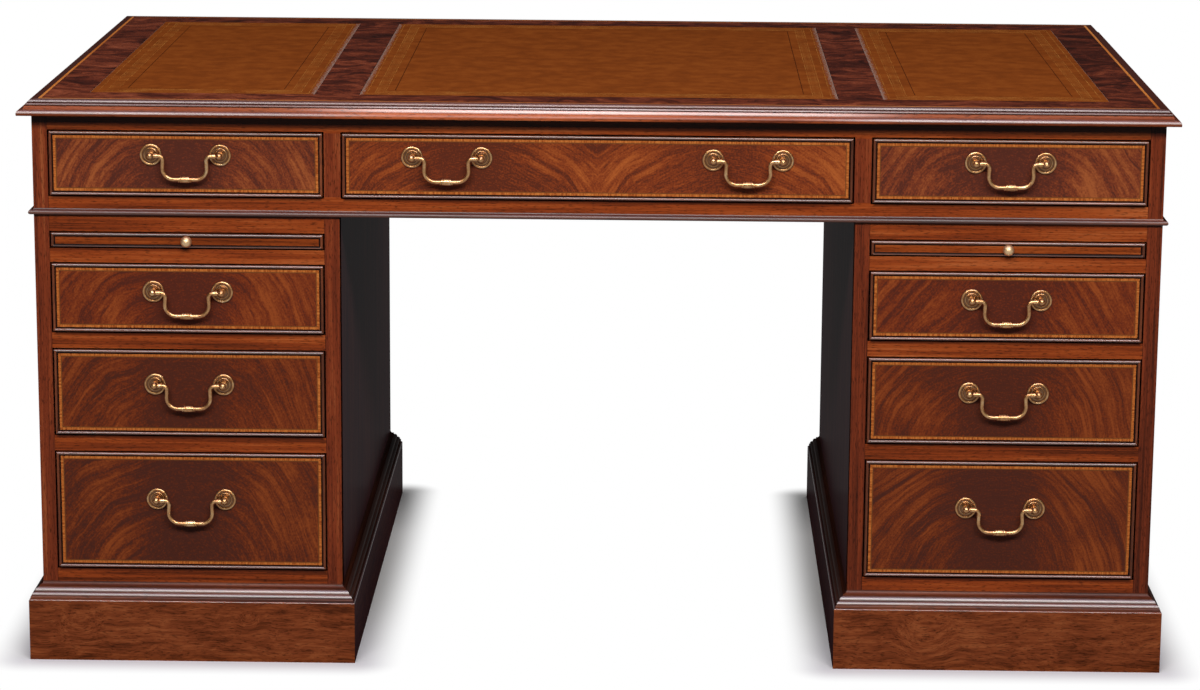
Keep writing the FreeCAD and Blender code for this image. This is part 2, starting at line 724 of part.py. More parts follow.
def drawers():
    """Every drawer by name, with the opening that it fills."""
    bays = frieze_bays()
    stack = {
        "upper": (UPPER_BASE, UPPER_OPENING),
        "middle": (MIDDLE_BASE, MIDDLE_OPENING),
        "lower": (BASE_TOP, LOWER_OPENING),
    }
    found = {}
    for side, bay in bays.items():
        offsets = (-CENTRE_HANDLE_OFFSET, CENTRE_HANDLE_OFFSET) if side == "centre" else (0,)
        found["frieze_" + side] = Drawer(bay, FRIEZE_BASE, FRIEZE_OPENING, FRIEZE_HANDLE_SHARE, offsets)
    for side in ("left", "right"):
        for level, (base, height) in stack.items():
            found[side + "_" + level] = Drawer(bays[side], base, height, HANDLE_SHARE, (0,))
    return found


def bail_names(name, drawer):
    """One name for each bail of a drawer."""
    if len(drawer.handles) == 1:
        return [name + "_bail"]
    return [name + "_left_bail", name + "_right_bail"]


def desk():
    """Every node by name, as the list of its solids."""
    nodes = {
        "top_board": [top_core()],
        "top_edge_moulding": top_lipping(),
        "top_stringing": string_lines(),
        "frieze_carcass": frieze_carcass(),
        "frieze_front_frame": frieze_front_frame(),
        "frieze_bead_moulding": waist_moulding(),
    }
    for side, x in leather_ranges().items():
        nodes["leather_" + side] = [leather_panel(x)]
    pedestal = {
        "pedestal_case": pedestal_case(),
        "pedestal_front_frame": pedestal_front_frame(),
        "pedestal_runners": pedestal_runners(),
        "plinth": plinth(),
        "plinth_moulding": plinth_cap(),
    }
    offset = (KNEEHOLE_WIDTH + PEDESTAL_WIDTH) / 2
    for side, x in (("left", -offset), ("right", offset)):
        for piece, solids in pedestal.items():
            nodes[side + "_" + piece] = moved(solids, x, 0, 0)
        nodes[side + "_slide"] = slide_board(frieze_bays()[side])
        nodes[side + "_slide_knob"] = slide_knob(frieze_bays()[side])
    fixings = handle_fixings()
    swinging = bail()
    for name, drawer in drawers().items():
        level = drawer.handle_level
        nodes[name + "_drawer_front"] = drawer.front()
        nodes[name + "_drawer_box"] = drawer.box()
        nodes[name + "_handle_posts"] = []
        for x, bail_name in zip(drawer.handles, bail_names(name, drawer)):
            nodes[name + "_handle_posts"] += moved(fixings, x, CASE_FRONT, level)
            nodes[bail_name] = moved([swinging], x, CASE_FRONT - HANDLE_STANDOFF, level)
    return nodes


os.makedirs("parts", exist_ok=True)
for node, solids in desk().items():
    Part.makeCompound(solids).exportStep("parts/" + node + ".step")
    print(node, len(solids))
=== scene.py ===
# %% [markdown]
# # A mahogany pedestal desk
# The desk comes apart into a leather-lined top, a frieze with three drawers, and two pedestals with three
# drawers and a brushing slide each. Its construction is finished: every board, bead and handle is there at
# its real size. This lesson gives those pieces their finishes, runs a moulding round the top, lays the tooled
# leather into it, and sets up the studio.

# %% Load the construction
import bpy
import math
from mathutils import Matrix, Vector


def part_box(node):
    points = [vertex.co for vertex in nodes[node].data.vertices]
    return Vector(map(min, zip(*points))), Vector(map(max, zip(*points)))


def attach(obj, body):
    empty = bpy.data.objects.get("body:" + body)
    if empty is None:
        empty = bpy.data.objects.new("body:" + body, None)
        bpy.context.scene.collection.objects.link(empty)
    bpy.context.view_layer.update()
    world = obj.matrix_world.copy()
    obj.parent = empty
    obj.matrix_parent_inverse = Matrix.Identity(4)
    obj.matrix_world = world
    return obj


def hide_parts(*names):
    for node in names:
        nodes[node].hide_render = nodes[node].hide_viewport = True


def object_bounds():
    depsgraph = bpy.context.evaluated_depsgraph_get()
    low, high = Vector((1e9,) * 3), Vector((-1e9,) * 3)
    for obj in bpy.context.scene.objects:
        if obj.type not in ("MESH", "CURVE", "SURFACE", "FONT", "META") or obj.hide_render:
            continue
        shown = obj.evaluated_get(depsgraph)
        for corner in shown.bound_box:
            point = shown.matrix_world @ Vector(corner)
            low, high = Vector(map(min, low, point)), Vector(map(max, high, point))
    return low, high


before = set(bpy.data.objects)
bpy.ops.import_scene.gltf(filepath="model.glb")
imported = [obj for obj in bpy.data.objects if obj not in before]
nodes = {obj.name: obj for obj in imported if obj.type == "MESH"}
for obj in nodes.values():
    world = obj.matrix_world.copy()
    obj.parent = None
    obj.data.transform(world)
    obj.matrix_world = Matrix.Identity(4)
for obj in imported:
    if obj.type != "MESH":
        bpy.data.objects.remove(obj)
cad_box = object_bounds()

# %% [markdown]
# ## Colours and nodes
# Paint charts and photographs give colours as sRGB codes, and a shader works in linear light, so one function
# turns the one into the other. A second small function adds a node, fills in its settings and joins its
# inputs. Each finish below is then a list of the layers that the real surface has. A map-range node takes a
# value, the two ends of the range that it comes from, and the two ends of the range that it goes to.

# %% Helpers for every finish
MM = 0.001


def shade(code):
    """An sRGB hex code as a linear colour."""
    parts = [int(code[start:start + 2], 16) / 255 for start in (1, 3, 5)]
    linear = [part / 12.92 if part <= 0.04045 else ((part + 0.055) / 1.055) ** 2.4 for part in parts]
    return linear + [1.0]


def add(tree, kind, *values, stops=(), **named):
    """Adds a node. Values fill its inputs in order, a name with a capital fills one input, and any other name
    is a setting. A value is a plain one, another node or one of its sockets."""
    made = tree.nodes.new("ShaderNode" + kind)
    inputs = {name.replace("_", " "): value for name, value in named.items() if name[0].isupper()}
    for name, value in named.items():
        if name[0].islower():
            setattr(made, name, value)
    usable = [socket for socket in made.inputs if socket.enabled]
    filled = list(zip(usable, values)) + [(made.inputs[name], value) for name, value in inputs.items()]
    for socket, value in filled:
        if isinstance(value, bpy.types.Node):
            value = next(output for output in value.outputs if output.enabled)
        if isinstance(value, bpy.types.NodeSocket):
            tree.links.new(value, socket)
        else:
            socket.default_value = value
    for index, (place, code) in enumerate(stops):
        elements = made.color_ramp.elements
        element = elements[index] if index < len(elements) else elements.new(place)
        element.position = place
        element.color = shade(code)
    return made


def new_finish(name, **values):
    """A material with one shader, whose even values are set straight on its sockets."""
    material = bpy.data.materials.new(name)
    material.use_nodes = True
    tree = material.node_tree
    tree.nodes.clear()
    shader = add(tree, "BsdfPrincipled", **values)
    add(tree, "OutputMaterial", Surface=shader)
    return material, tree, shader


def desk_place(tree):
    """A point's place on the desk, as its X, Y and Z."""
    return add(tree, "SeparateXYZ", add(tree, "TexCoord").outputs["Object"]).outputs


print("a mid mahogany in linear light", [round(part, 3) for part in shade("#7d3519")[:3]])

# %% [markdown]
# ## The camera
# The picture was taken from a little above the desk and well in front of it, with a long lens. The lens and
# the place below were worked out from the desk's own corners, so the drawers fall where they do in the
# picture. A camera looks down its own Z axis, so it is tipped up from the floor first and then turned.

# %% Camera
IMAGE_WIDTH = 1200
FOCAL_PIXELS = 3615.2
CAMERA_PLACE = (0.0791, -5.1316, 1.4632)
CAMERA_YAW = -0.015738
CAMERA_PITCH = 0.214759
CAMERA_ROLL = 0.0072917

lens = bpy.data.cameras.new("studio_camera")
lens.sensor_fit = "HORIZONTAL"
lens.lens = FOCAL_PIXELS / IMAGE_WIDTH * lens.sensor_width
camera = bpy.data.objects.new("studio_camera", lens)
bpy.context.scene.collection.objects.link(camera)
turned = Matrix.Rotation(-CAMERA_YAW, 4, "Z") @ Matrix.Rotation(math.pi / 2 - CAMERA_PITCH, 4, "X")
camera.matrix_world = Matrix.Translation(CAMERA_PLACE) @ turned @ Matrix.Rotation(CAMERA_ROLL, 4, "Z")
bpy.context.scene.camera = camera
print("lens", round(lens.lens, 1), "mm")

# %% [markdown]
# ## The studio
# Polished mouldings are drawn by what they mirror, so one broad softbox hangs in front, half way up the sky,
# and one hangs overhead. Between them they put a white line on every bead and a dark shadow under every edge.
# A dim sky behind the desk fills in its back and sides. The floor is white paper: it glows to the camera and
# to mirroring surfaces, and near the plinths it takes a shadow.

# %% Lights
scene = bpy.context.scene
scene.view_settings.view_transform = "Standard"


def softbox(name, place, target, size, power, code):
    """A rectangular lamp that faces a point."""
    lamp = bpy.data.lights.new(name, "AREA")
    lamp.shape = "RECTANGLE"
    lamp.size, lamp.size_y = size
    lamp.energy = power
    lamp.color = shade(code)[:3]
    holder = bpy.data.objects.new(name, lamp)
    scene.collection.objects.link(holder)
    aim = (Vector(target) - Vector(place)).to_track_quat("-Z", "Y")
    holder.matrix_world = Matrix.Translation(place) @ aim.to_matrix().to_4x4()


softbox("front_key", place=(0.15, -4.0, 3.33), target=(0.0, -0.44, 0.6), size=(4.4, 0.8),
        power=228, code="#fdfaf8")
softbox("overhead", place=(0.0, -0.9, 3.2), target=(0.0, -0.2, 0.5), size=(3.8, 1.4),
        power=40, code="#e9e2ff")
print("lamps", len(bpy.data.lights))

# %% Paper floor
FLOOR_SIZE = 80
PLINTH_MIDDLE = 542 * MM
PLINTH_HALF = (220 * MM, 457 * MM)
SHADOW_REACH = 65 * MM
MIRRORED_GLOW_SHARE = 0.45

bpy.ops.object.select_all(action="DESELECT")
bpy.ops.mesh.primitive_plane_add(size=FLOOR_SIZE)
floor = bpy.context.object
floor.name = "paper_floor"
paper = bpy.data.materials.new("white_paper")
paper.use_nodes = True
tree = paper.node_tree
tree.nodes.clear()
place = desk_place(tree)
across = add(tree, "Math", place["X"], operation="ABSOLUTE")
across = add(tree, "Math", across, PLINTH_MIDDLE, operation="SUBTRACT")
across = add(tree, "Math", across, operation="ABSOLUTE")
across = add(tree, "Math", across, PLINTH_HALF[0], operation="SUBTRACT")
deep = add(tree, "Math", place["Y"], operation="ABSOLUTE")
deep = add(tree, "Math", deep, PLINTH_HALF[1], operation="SUBTRACT")
outside = add(tree, "CombineXYZ", across, deep)
outside = add(tree, "VectorMath", outside, (0, 0, 0), operation="MAXIMUM")
away = add(tree, "VectorMath", outside, operation="LENGTH").outputs["Value"]
glow_share = add(tree, "MapRange", away, From_Max=SHADOW_REACH, interpolation_type="SMOOTHSTEP")
rays = add(tree, "LightPath").outputs
mirrored = add(tree, "Math", rays["Is Glossy Ray"], MIRRORED_GLOW_SHARE, operation="MULTIPLY")
seen = add(tree, "Math", mirrored, rays["Is Camera Ray"], operation="ADD")
seen = add(tree, "Math", seen, rays["Is Transmission Ray"], operation="ADD")
glow_share = add(tree, "Math", seen, glow_share, operation="MULTIPLY")
matt_colour = add(tree, "Mix", rays["Is Camera Ray"], shade("#454545"), shade("#d8d8d8"), data_type="RGBA")
matt = add(tree, "BsdfDiffuse", Color=matt_colour)
glow = add(tree, "Emission", Color=shade("#ffffff"), Strength=1.0)
add(tree, "OutputMaterial", Surface=add(tree, "MixShader", glow_share, matt, glow))
floor.data.materials.append(paper)
print("floor shadow reaches", SHADOW_REACH / MM, "mm")

# %% World
AMBIENT = 0.06
REAR_AMBIENT = 0.6
REAR_FULL = 0.5
MIRRORED_SKY = 0.08

world = bpy.data.worlds.new("studio")
world.use_nodes = True
scene.world = world
tree = world.node_tree
tree.nodes.clear()
rays = add(tree, "LightPath").outputs
mirrored = add(tree, "Math", rays["Is Glossy Ray"], rays["Is Transmission Ray"], operation="MAXIMUM")
heading = add(tree, "SeparateXYZ", add(tree, "TexCoord").outputs["Generated"]).outputs
ambient = add(tree, "MapRange", heading["Y"], 0.0, REAR_FULL, AMBIENT, REAR_AMBIENT)
level = add(tree, "Mix", mirrored, ambient, MIRRORED_SKY, data_type="FLOAT")
level = add(tree, "Math", level, rays["Is Camera Ray"], operation="MAXIMUM")
backdrop = add(tree, "Background", Color=shade("#ffffff"), Strength=level)
add(tree, "OutputWorld", Surface=backdrop)
print("ambient level in front", AMBIENT, "and behind", REAR_AMBIENT)

# %% [markdown]
# ## Which way the grain runs
# Wood is a bundle of fibres, so every mark in it is long one way and narrow the other two. Each finish starts
# from a point's place, reordered so that its first number runs along the fibres. Rails run across the desk,
# stiles stand up, and a moulding turns the corner at its mitre, so the order follows the place on the desk.

# %% Grain directions
AXIS_ORDERS = {"X": "XYZ", "Y": "YXZ", "Z": "ZXY"}


def grain_along(tree, axis):
    """A point's place with the named axis first."""
    place = desk_place(tree)
    return add(tree, "CombineXYZ", *[place[letter] for letter in AXIS_ORDERS[axis]])


def extents(node, axes):
    """The middle and the half sizes of a node along some axes."""
    low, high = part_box(node)
    picks = ["XYZ".index(axis) for axis in axes]
    middle = [(low[pick] + high[pick]) / 2 for pick in picks]
    half = [(high[pick] - low[pick]) / 2 for pick in picks]
    return middle, half


def border(tree, axes, middle, half):
    """How far inside a rectangle a point lies, and 1 where its nearest edge is a side of the first axis."""
    place = desk_place(tree)
    gaps = []
    for axis, centre, reach in zip(axes, middle, half):
        offset = add(tree, "Math", place[axis], centre, operation="SUBTRACT")
        offset = add(tree, "Math", offset, operation="ABSOLUTE")
        gaps.append(add(tree, "Math", reach, offset, operation="SUBTRACT"))
    inside = add(tree, "Math", *gaps, operation="MINIMUM")
    beside = add(tree, "Math", *gaps, operation="LESS_THAN")
    return inside, beside


def grain_round(tree, axes, middle, half):
    """Grain along the run of a frame that is mitred at its corners."""
    beside = border(tree, axes, middle, half)[1]
    first = grain_along(tree, axes[0])
    second = grain_along(tree, axes[1])
    return add(tree, "Mix", beside, first, second, data_type="VECTOR")


def grain_round_node(tree, node):
    """Grain that follows the mitred run of a node round the desk."""
    return grain_round(tree, "XY", *extents(node, "XY"))


print("grain orders", AXIS_ORDERS)

# %% [markdown]
# ## French-polished mahogany
# Mahogany is red-brown with long soft streaks, fine lines and short dark pores. French polish is many thin
# coats of shellac, rubbed until they shine. So the colour comes from layers of marks, each as long and wide
# as the real ones, and a clear coat lies over it. Pores are drawn wider than real ones, which are too fine
# to show.

# %% Mahogany layers
STREAK = (300 * MM, 8 * MM)
LINE = (130 * MM, 1.6 * MM)
LINE_SHARE = 0.35
DRIFT = (600 * MM, 80 * MM)
DRIFT_SHARE = 0.25
PORE = (10 * MM, 1.5 * MM)
PORE_RANGE = (0.54, 0.67)
PORE_SHARE = 0.6
TONE_PLACES = (0.38, 0.47, 0.53, 0.63)
NOISE_MEAN = 0.5


def marks(tree, grain, size, detail):
    """A layer of marks that are long along the grain. The size is a length and a width."""
    stretched = add(tree, "VectorMath", grain, (size[0], size[1], size[1]), operation="DIVIDE")
    return add(tree, "TexNoise", Vector=stretched, Scale=1.0, Detail=detail, Roughness=0.6).outputs[0]


def swirled(tree, place, size, reach):
    """A place that is pushed about by a slow drift. The reach is given for each axis."""
    drift = add(tree, "TexNoise", Vector=place, Scale=1 / size, Detail=2.0).outputs["Color"]
    drift = add(tree, "VectorMath", drift, (NOISE_MEAN,) * 3, operation="SUBTRACT")
    drift = add(tree, "VectorMath", drift, reach, operation="MULTIPLY")
    return add(tree, "VectorMath", place, drift, operation="ADD")


def wood_colour(tree, grain, tones, streak=STREAK, lift=0.0):
    """Streaks, fine lines, a drift in tone and dark pores. Gives the colour and the pores."""
    streaks = marks(tree, grain, streak, detail=4)
    lines = marks(tree, grain, LINE, detail=2)
    drift = marks(tree, grain, DRIFT, detail=2)
    pores = marks(tree, grain, PORE, detail=2)
    figure = add(tree, "Mix", LINE_SHARE, streaks, lines, data_type="FLOAT")
    figure = add(tree, "Mix", DRIFT_SHARE, figure, drift, data_type="FLOAT")
    figure = add(tree, "Math", figure, lift, operation="ADD")
    colour = add(tree, "ValToRGB", figure, stops=tuple(zip(TONE_PLACES, tones)))
    pores = add(tree, "MapRange", pores, *PORE_RANGE)
    dark = add(tree, "Mix", PORE_SHARE, colour, shade("#200a05"), data_type="RGBA")
    return add(tree, "Mix", pores, colour, dark, data_type="RGBA"), pores


print("streaks", STREAK[1] / MM, "mm wide, pores", PORE[1] / MM, "mm")

# %% Polish
PORE_DEPTH = 0.05 * MM


def polish(tree, shader, colour, pores=None, gloss=None):
    """Joins a wood's colour to its shader. Pores dip through the polish unless it has filled them."""
    tree.links.new(colour.outputs[2], shader.inputs["Base Color"])
    if pores:
        dip = add(tree, "Bump", Strength=0.6, Distance=PORE_DEPTH, Height=pores, invert=True)
        tree.links.new(dip.outputs[0], shader.inputs["Normal"])
    if gloss:
        tree.links.new(gloss.outputs[0], shader.inputs["Coat Weight"])


def give(material, *names):
    """Puts a finish on construction nodes."""
    for name in names:
        for slot in nodes[name].material_slots:
            slot.material = material


print("pores are", PORE_DEPTH / MM, "mm deep")

# %% [markdown]
# ## The moulded edge of the top
# Four lengths of moulding are mitred round the top. From above, the profile is an ovolo, a bead, a sloping
# roll and a flat nose, with narrow quirks between them. It could be swept along a curve, but here a loop of
# four edges is extruded step by step: each time it grows and drops by one step of the profile, so the mitres
# come by themselves.

# %% Edge profile
LIPPING_WIDTH = 8 * MM
OVERHANG = 17.5 * MM
OVOLO = 3.2 * MM
OVOLO_LEDGE = 1.2 * MM
OVOLO_DROP = 0.9 * MM
EDGE_BEAD = 2.4 * MM
BEAD_UNDERCUT = 0.8 * MM
BEAD_DROP = 0.5 * MM
BEAD_LEDGE = 1 * MM
SLOPE_RADIUS = 10.5 * MM
SLOPE_DROP = 0.4 * MM
NOSE_ROLL = 4.5 * MM
NOSE_ARRIS = 1 * MM
EDGE_HEIGHT = 20 * MM
BOARD_HEIGHT = 18 * MM
FACES_UP = 90
FACES_OUT = 0
FACES_DOWN = -90
UNDERCUT_END = -60
SLOPE_TILTS = (36, 10)
CURVE_STEPS = 8


def curve(start, end, radius):
    """Small steps out and up along a rounded face, from one tilt of that face in degrees to another."""
    tilts = [math.radians(start + (end - start) * step / CURVE_STEPS) for step in range(CURVE_STEPS + 1)]
    return [(radius * (math.cos(after) - math.cos(before)), radius * (math.sin(after) - math.sin(before)))
            for before, after in zip(tilts, tilts[1:])]


def edge_profile():
    """Steps out and up round the section of the edge, from its inner upper corner and back to it."""
    steps = [(LIPPING_WIDTH, 0)] + curve(FACES_UP, FACES_OUT, OVOLO)
    steps += [(OVOLO_LEDGE, 0), (0, -OVOLO_DROP)] + curve(FACES_UP, FACES_OUT, EDGE_BEAD)
    steps += curve(FACES_OUT, UNDERCUT_END, BEAD_UNDERCUT) + [(0, -BEAD_DROP), (BEAD_LEDGE, 0)]
    steps += curve(*SLOPE_TILTS, SLOPE_RADIUS) + [(0, -SLOPE_DROP)]
    out = sum(step[0] for step in steps)
    steps += [(LIPPING_WIDTH + OVERHANG - NOSE_ROLL - out, 0)] + curve(FACES_UP, FACES_OUT, NOSE_ROLL)
    drop = -sum(step[1] for step in steps)
    steps += [(0, drop + NOSE_ARRIS - EDGE_HEIGHT)] + curve(FACES_OUT, FACES_DOWN, NOSE_ARRIS)
    steps += [(NOSE_ARRIS - OVERHANG, 0), (0, EDGE_HEIGHT - BOARD_HEIGHT)]
    return steps + [(-LIPPING_WIDTH, 0), (0, BOARD_HEIGHT)]


print("profile steps", len(edge_profile()))

# %% Moulded lipping
SMOOTH_ANGLE = math.radians(40)
MERGE_REACH = 0.02 * MM


def moulded_lipping():
    """A loop of four edges, extruded along the profile and closed on itself."""
    half = [side - OVERHANG - LIPPING_WIDTH for side in extents("top_edge_moulding", "XY")[1]]
    bpy.ops.object.select_all(action="DESELECT")
    bpy.ops.mesh.primitive_plane_add(size=1, location=(0, 0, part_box("top_edge_moulding")[1].z))
    lipping = bpy.context.object
    lipping.name = "moulded_lipping"
    lipping.dimensions = (2 * half[0], 2 * half[1], 0)
    bpy.ops.object.transform_apply(location=True, rotation=True, scale=True)
    bpy.context.tool_settings.mesh_select_mode = (False, True, False)
    bpy.ops.object.mode_set(mode="EDIT")
    bpy.ops.mesh.select_all(action="SELECT")
    bpy.ops.mesh.delete(type="ONLY_FACE")
    bpy.ops.mesh.select_all(action="SELECT")
    for out, up in edge_profile():
        bpy.ops.mesh.extrude_edges_indiv()
        grown = [(side + out) / side for side in half]
        bpy.ops.transform.resize(value=(grown[0], grown[1], 1), center_override=(0, 0, 0))
        bpy.ops.transform.translate(value=(0, 0, up))
        half = [side + out for side in half]
    bpy.ops.mesh.select_all(action="SELECT")
    bpy.ops.mesh.remove_doubles(threshold=MERGE_REACH)
    bpy.ops.mesh.normals_make_consistent(inside=False)
    bpy.ops.object.mode_set(mode="OBJECT")
    bpy.ops.object.shade_smooth_by_angle(angle=SMOOTH_ANGLE)
    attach(lipping, "desk")
    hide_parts("top_edge_moulding")
    return lipping


lipping = moulded_lipping()
print("lipping faces", len(lipping.data.polygons))

# %% [markdown]
# ## Finish of the mouldings
# The moulded edges are rubbed the most, so they shine the most. Their coat mirrors strongly, and that draws
# the white line along each roll. The quirks get no gloss, and on the top's edge they are also painted dark as
# painted shade. The grain follows each length round its mitres. The lengths along the sides are duller, and
# they are painted darker as painted shade. Polish has filled the pores here.

# %% Moulding finish
RUBBED_COAT_IOR = 2.8
SIDE_GLOSS_SHARE = 0.2
SIDE_SHADE_SHARE = 0.8
# Near-black painted shade, for the side runs of mouldings and the corner behind each cock bead.
PAINTED_SHADE = "#1c0a06"
MOULDING_TONES = ("#34150b", "#502211", "#602c17", "#7a4024")
WAIST_GLOSS = ((0.0, "#9e9e9e"), (7.9, "#000000"))
CAP_GLOSS = (
    (0.0, "#707070"), (4.3, "#000000"), (5.0, "#f4f4f4"), (9.0, "#000000"), (9.7, "#ffffff"),
    (14.7, "#505050"), (17.0, "#606060"),
)


def gloss_bands(tree, along, reach, glosses):
    """Steps of gloss from pairs of millimetres and grey, across a profile that runs from 0 to 1."""
    ramp = add(tree, "ValToRGB", along, stops=[(place * MM / reach, code) for place, code in glosses])
    ramp.color_ramp.interpolation = "CONSTANT"
    return ramp


def moulding_wood(name, node, tones):
    """Brightly polished mahogany whose grain turns at the mitres. Gives its colour and gloss to be joined."""
    material, tree, shader = new_finish(
        name, Roughness=0.4, Specular_IOR_Level=0.0, Coat_IOR=RUBBED_COAT_IOR, Coat_Roughness=0.46,
    )
    colour = wood_colour(tree, grain_round_node(tree, node), tones)[0]
    beside = border(tree, "XY", *extents(node, "XY"))[1]
    gloss = add(tree, "MapRange", beside, To_Min=1.0, To_Max=SIDE_GLOSS_SHARE)
    # Side runs are painted darker as painted shade.
    side_shade = add(tree, "Math", beside, SIDE_SHADE_SHARE, operation="MULTIPLY")
    colour = add(tree, "Mix", side_shade, colour, shade(PAINTED_SHADE), data_type="RGBA")
    return material, tree, shader, colour, gloss


mouldings = [name for name in nodes if name.endswith("_moulding") and name != "top_edge_moulding"]
for node in mouldings:
    material, tree, shader, colour, gloss = moulding_wood("mahogany_" + node, node, MOULDING_TONES)
    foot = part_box(node)[0].z
    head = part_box(node)[1].z
    up = add(tree, "MapRange", desk_place(tree)["Z"], foot, head)
    glosses = WAIST_GLOSS if node == "frieze_bead_moulding" else CAP_GLOSS
    bands = gloss_bands(tree, up, head - foot, glosses)
    gloss = add(tree, "Math", gloss, bands, operation="MULTIPLY")
    polish(tree, shader, colour, gloss=gloss)
    give(material, node)
print("mouldings", len(mouldings))

# %% [markdown]
# ## Wear on the edge of the top
# In the middle of the top's front edge, where the sitter's sleeves lie, the nose is dull and the slope above
# it is rubbed bright. Towards the ends the nose keeps its shine. The ovolo and the bead at the top are drawn
# darker, and the whole edge is drawn darker towards the ends.

# %% Top edge finish
NOSE_TONES = ("#632813", "#974620", "#ad562d", "#c06a3e")
SLOPE_START = 7.6 * MM
NOSE_START = 12.3 * MM
SLEEVES_HALF = 250 * MM
SLEEVES_END = 430 * MM
UPPER_DARK_SHARE = 0.72
END_DARK_SHARES = (0.45, 0.7)
LEAST_GLOSS = 0.01
RUBBED_LENGTH = 350 * MM
RUBBED_RANGE = (0.35, 0.65)
RUBBED_SHARES = (0.6, 1.0)
WORN_GLOSS = (
    (0.0, "#c8c8c8"), (3.2, "#000000"), (4.1, "#ffffff"), (7.1, "#000000"), (7.7, "#ffffff"),
    (12.3, "#848484"), (16.8, "#4a4a4a"),
)
KEPT_GLOSS = (
    (0.0, "#f4f4f4"), (3.2, "#000000"), (4.1, "#c0c0c0"), (7.1, "#000000"), (7.7, "#404040"),
    (12.3, "#ffffff"), (16.8, "#404040"),
)

material, tree, shader, colour, gloss = moulding_wood("mahogany_top_edge", "top_edge_moulding", NOSE_TONES)
place = desk_place(tree)
top_level = cad_box[1][2]
down = add(tree, "MapRange", place["Z"], top_level, top_level - EDGE_HEIGHT)
out = add(tree, "Math", place["X"], operation="ABSOLUTE")
toward_ends = add(tree, "MapRange", out, SLEEVES_HALF, SLEEVES_END, interpolation_type="SMOOTHSTEP")
worn_bands = gloss_bands(tree, down, EDGE_HEIGHT, WORN_GLOSS)
kept_bands = gloss_bands(tree, down, EDGE_HEIGHT, KEPT_GLOSS)
bands = add(tree, "Mix", toward_ends, worn_bands, kept_bands, data_type="RGBA").outputs[2]
# The ovolo and the bead at the top are drawn darker.
upper_dark = add(tree, "Math", down, SLOPE_START / EDGE_HEIGHT, operation="LESS_THAN")
upper_dark = add(tree, "Math", upper_dark, UPPER_DARK_SHARE, operation="MULTIPLY")
colour = add(tree, "Mix", upper_dark, colour, shade("#2a1410"), data_type="RGBA")
# The edge is drawn darker towards the ends.
nose = add(tree, "Math", down, NOSE_START / EDGE_HEIGHT, operation="GREATER_THAN")
end_dark = add(tree, "MapRange", nose, 0.0, 1.0, *END_DARK_SHARES)
end_dark = add(tree, "Math", end_dark, toward_ends, operation="MULTIPLY")
colour = add(tree, "Mix", end_dark, colour, shade("#451a0c"), data_type="RGBA")
# Quirks are painted dark as painted shade.
quirk = add(tree, "Math", bands, LEAST_GLOSS, operation="LESS_THAN")
colour = add(tree, "Mix", quirk, colour, shade("#280f09"), data_type="RGBA")
whole = add(tree, "TexCoord").outputs["Object"]
rubbed = add(tree, "TexNoise", Vector=whole, Scale=1 / RUBBED_LENGTH, Detail=2.0).outputs[0]
rubbed = add(tree, "MapRange", rubbed, *RUBBED_RANGE, *RUBBED_SHARES)
gloss = add(tree, "Math", gloss, rubbed, operation="MULTIPLY")
gloss = add(tree, "Math", gloss, bands, operation="MULTIPLY")
polish(tree, shader, colour, gloss=gloss)
lipping.data.materials.append(material)
print("sleeves have worn", 2 * SLEEVES_HALF / MM, "mm of the front edge")

# %% [markdown]
# ## Front frames
# A front frame has upright stiles and level rails, glued and planed flush. Only the turn of the grain and a
# hairline show where they meet. The lower part is drawn a little darker towards the bottom. Shadow is painted
# under the overhang of the top and under each drawer front. Inside the openings, behind the front face and
# the desk's own sides, the wood is unpolished and painted near-black as painted shade.

# %% Painted shade on the frames
FRONT_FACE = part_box("frieze_front_frame")[0].y
POLISHED_DEPTH = 0.7 * MM
# Painted shadow under each drawer front.
UNDER_SHADE_DROP = 3.2 * MM
UNDER_SHADE_FULL = 5 * MM

fronts = [name for name in nodes if name.endswith("_drawer_front")]


def on_front(tree):
    """1 on the front face and whatever stands proud of it."""
    return add(tree, "Math", desk_place(tree)["Y"], FRONT_FACE + POLISHED_DEPTH, operation="LESS_THAN")


def shade_under_fronts(tree, section):
    """How dark the painted shadow under the drawer fronts of one section of the desk is, from 0 to 1."""
    darkness = 0.0
    for front in fronts:
        if front.startswith(section):
            (across, up), (wide, high) = extents(front, "XZ")
            inside = border(tree, "XZ", (across, up - UNDER_SHADE_DROP), (wide, high + UNDER_SHADE_DROP))[0]
            under = add(tree, "MapRange", inside, From_Max=UNDER_SHADE_FULL)
            darkness = add(tree, "Math", darkness, under, operation="MAXIMUM")
    return darkness


print("drawer fronts", len(fronts))

# %% Frames
COAT_IOR = 2.2
FRAME_GLOSS = 0.05
RAIL_TONES = ("#59250f", "#893a16", "#9c471b", "#b56233")
STILE_TONES = ("#4b2012", "#723019", "#83391d", "#a15831")
STILE_WIDTH = 20 * MM
SEAM_HALF = 0.4 * MM
SEAM_SHARE = 0.55
SHADED_FOOT = 100 * MM
CLEAR_HEIGHT = 450 * MM
FOOT_LIFT = -0.05
# Painted shadow under the overhang of the top.
OVERHANG_SHADE_START = 2.5 * MM
OVERHANG_SHADE_FULL = 8 * MM
OVERHANG_SHADE_SHARE = 0.68
# Near-black painted shade for faces inside the openings and behind the fronts.
GAP_SHADE = "#1a0a06"


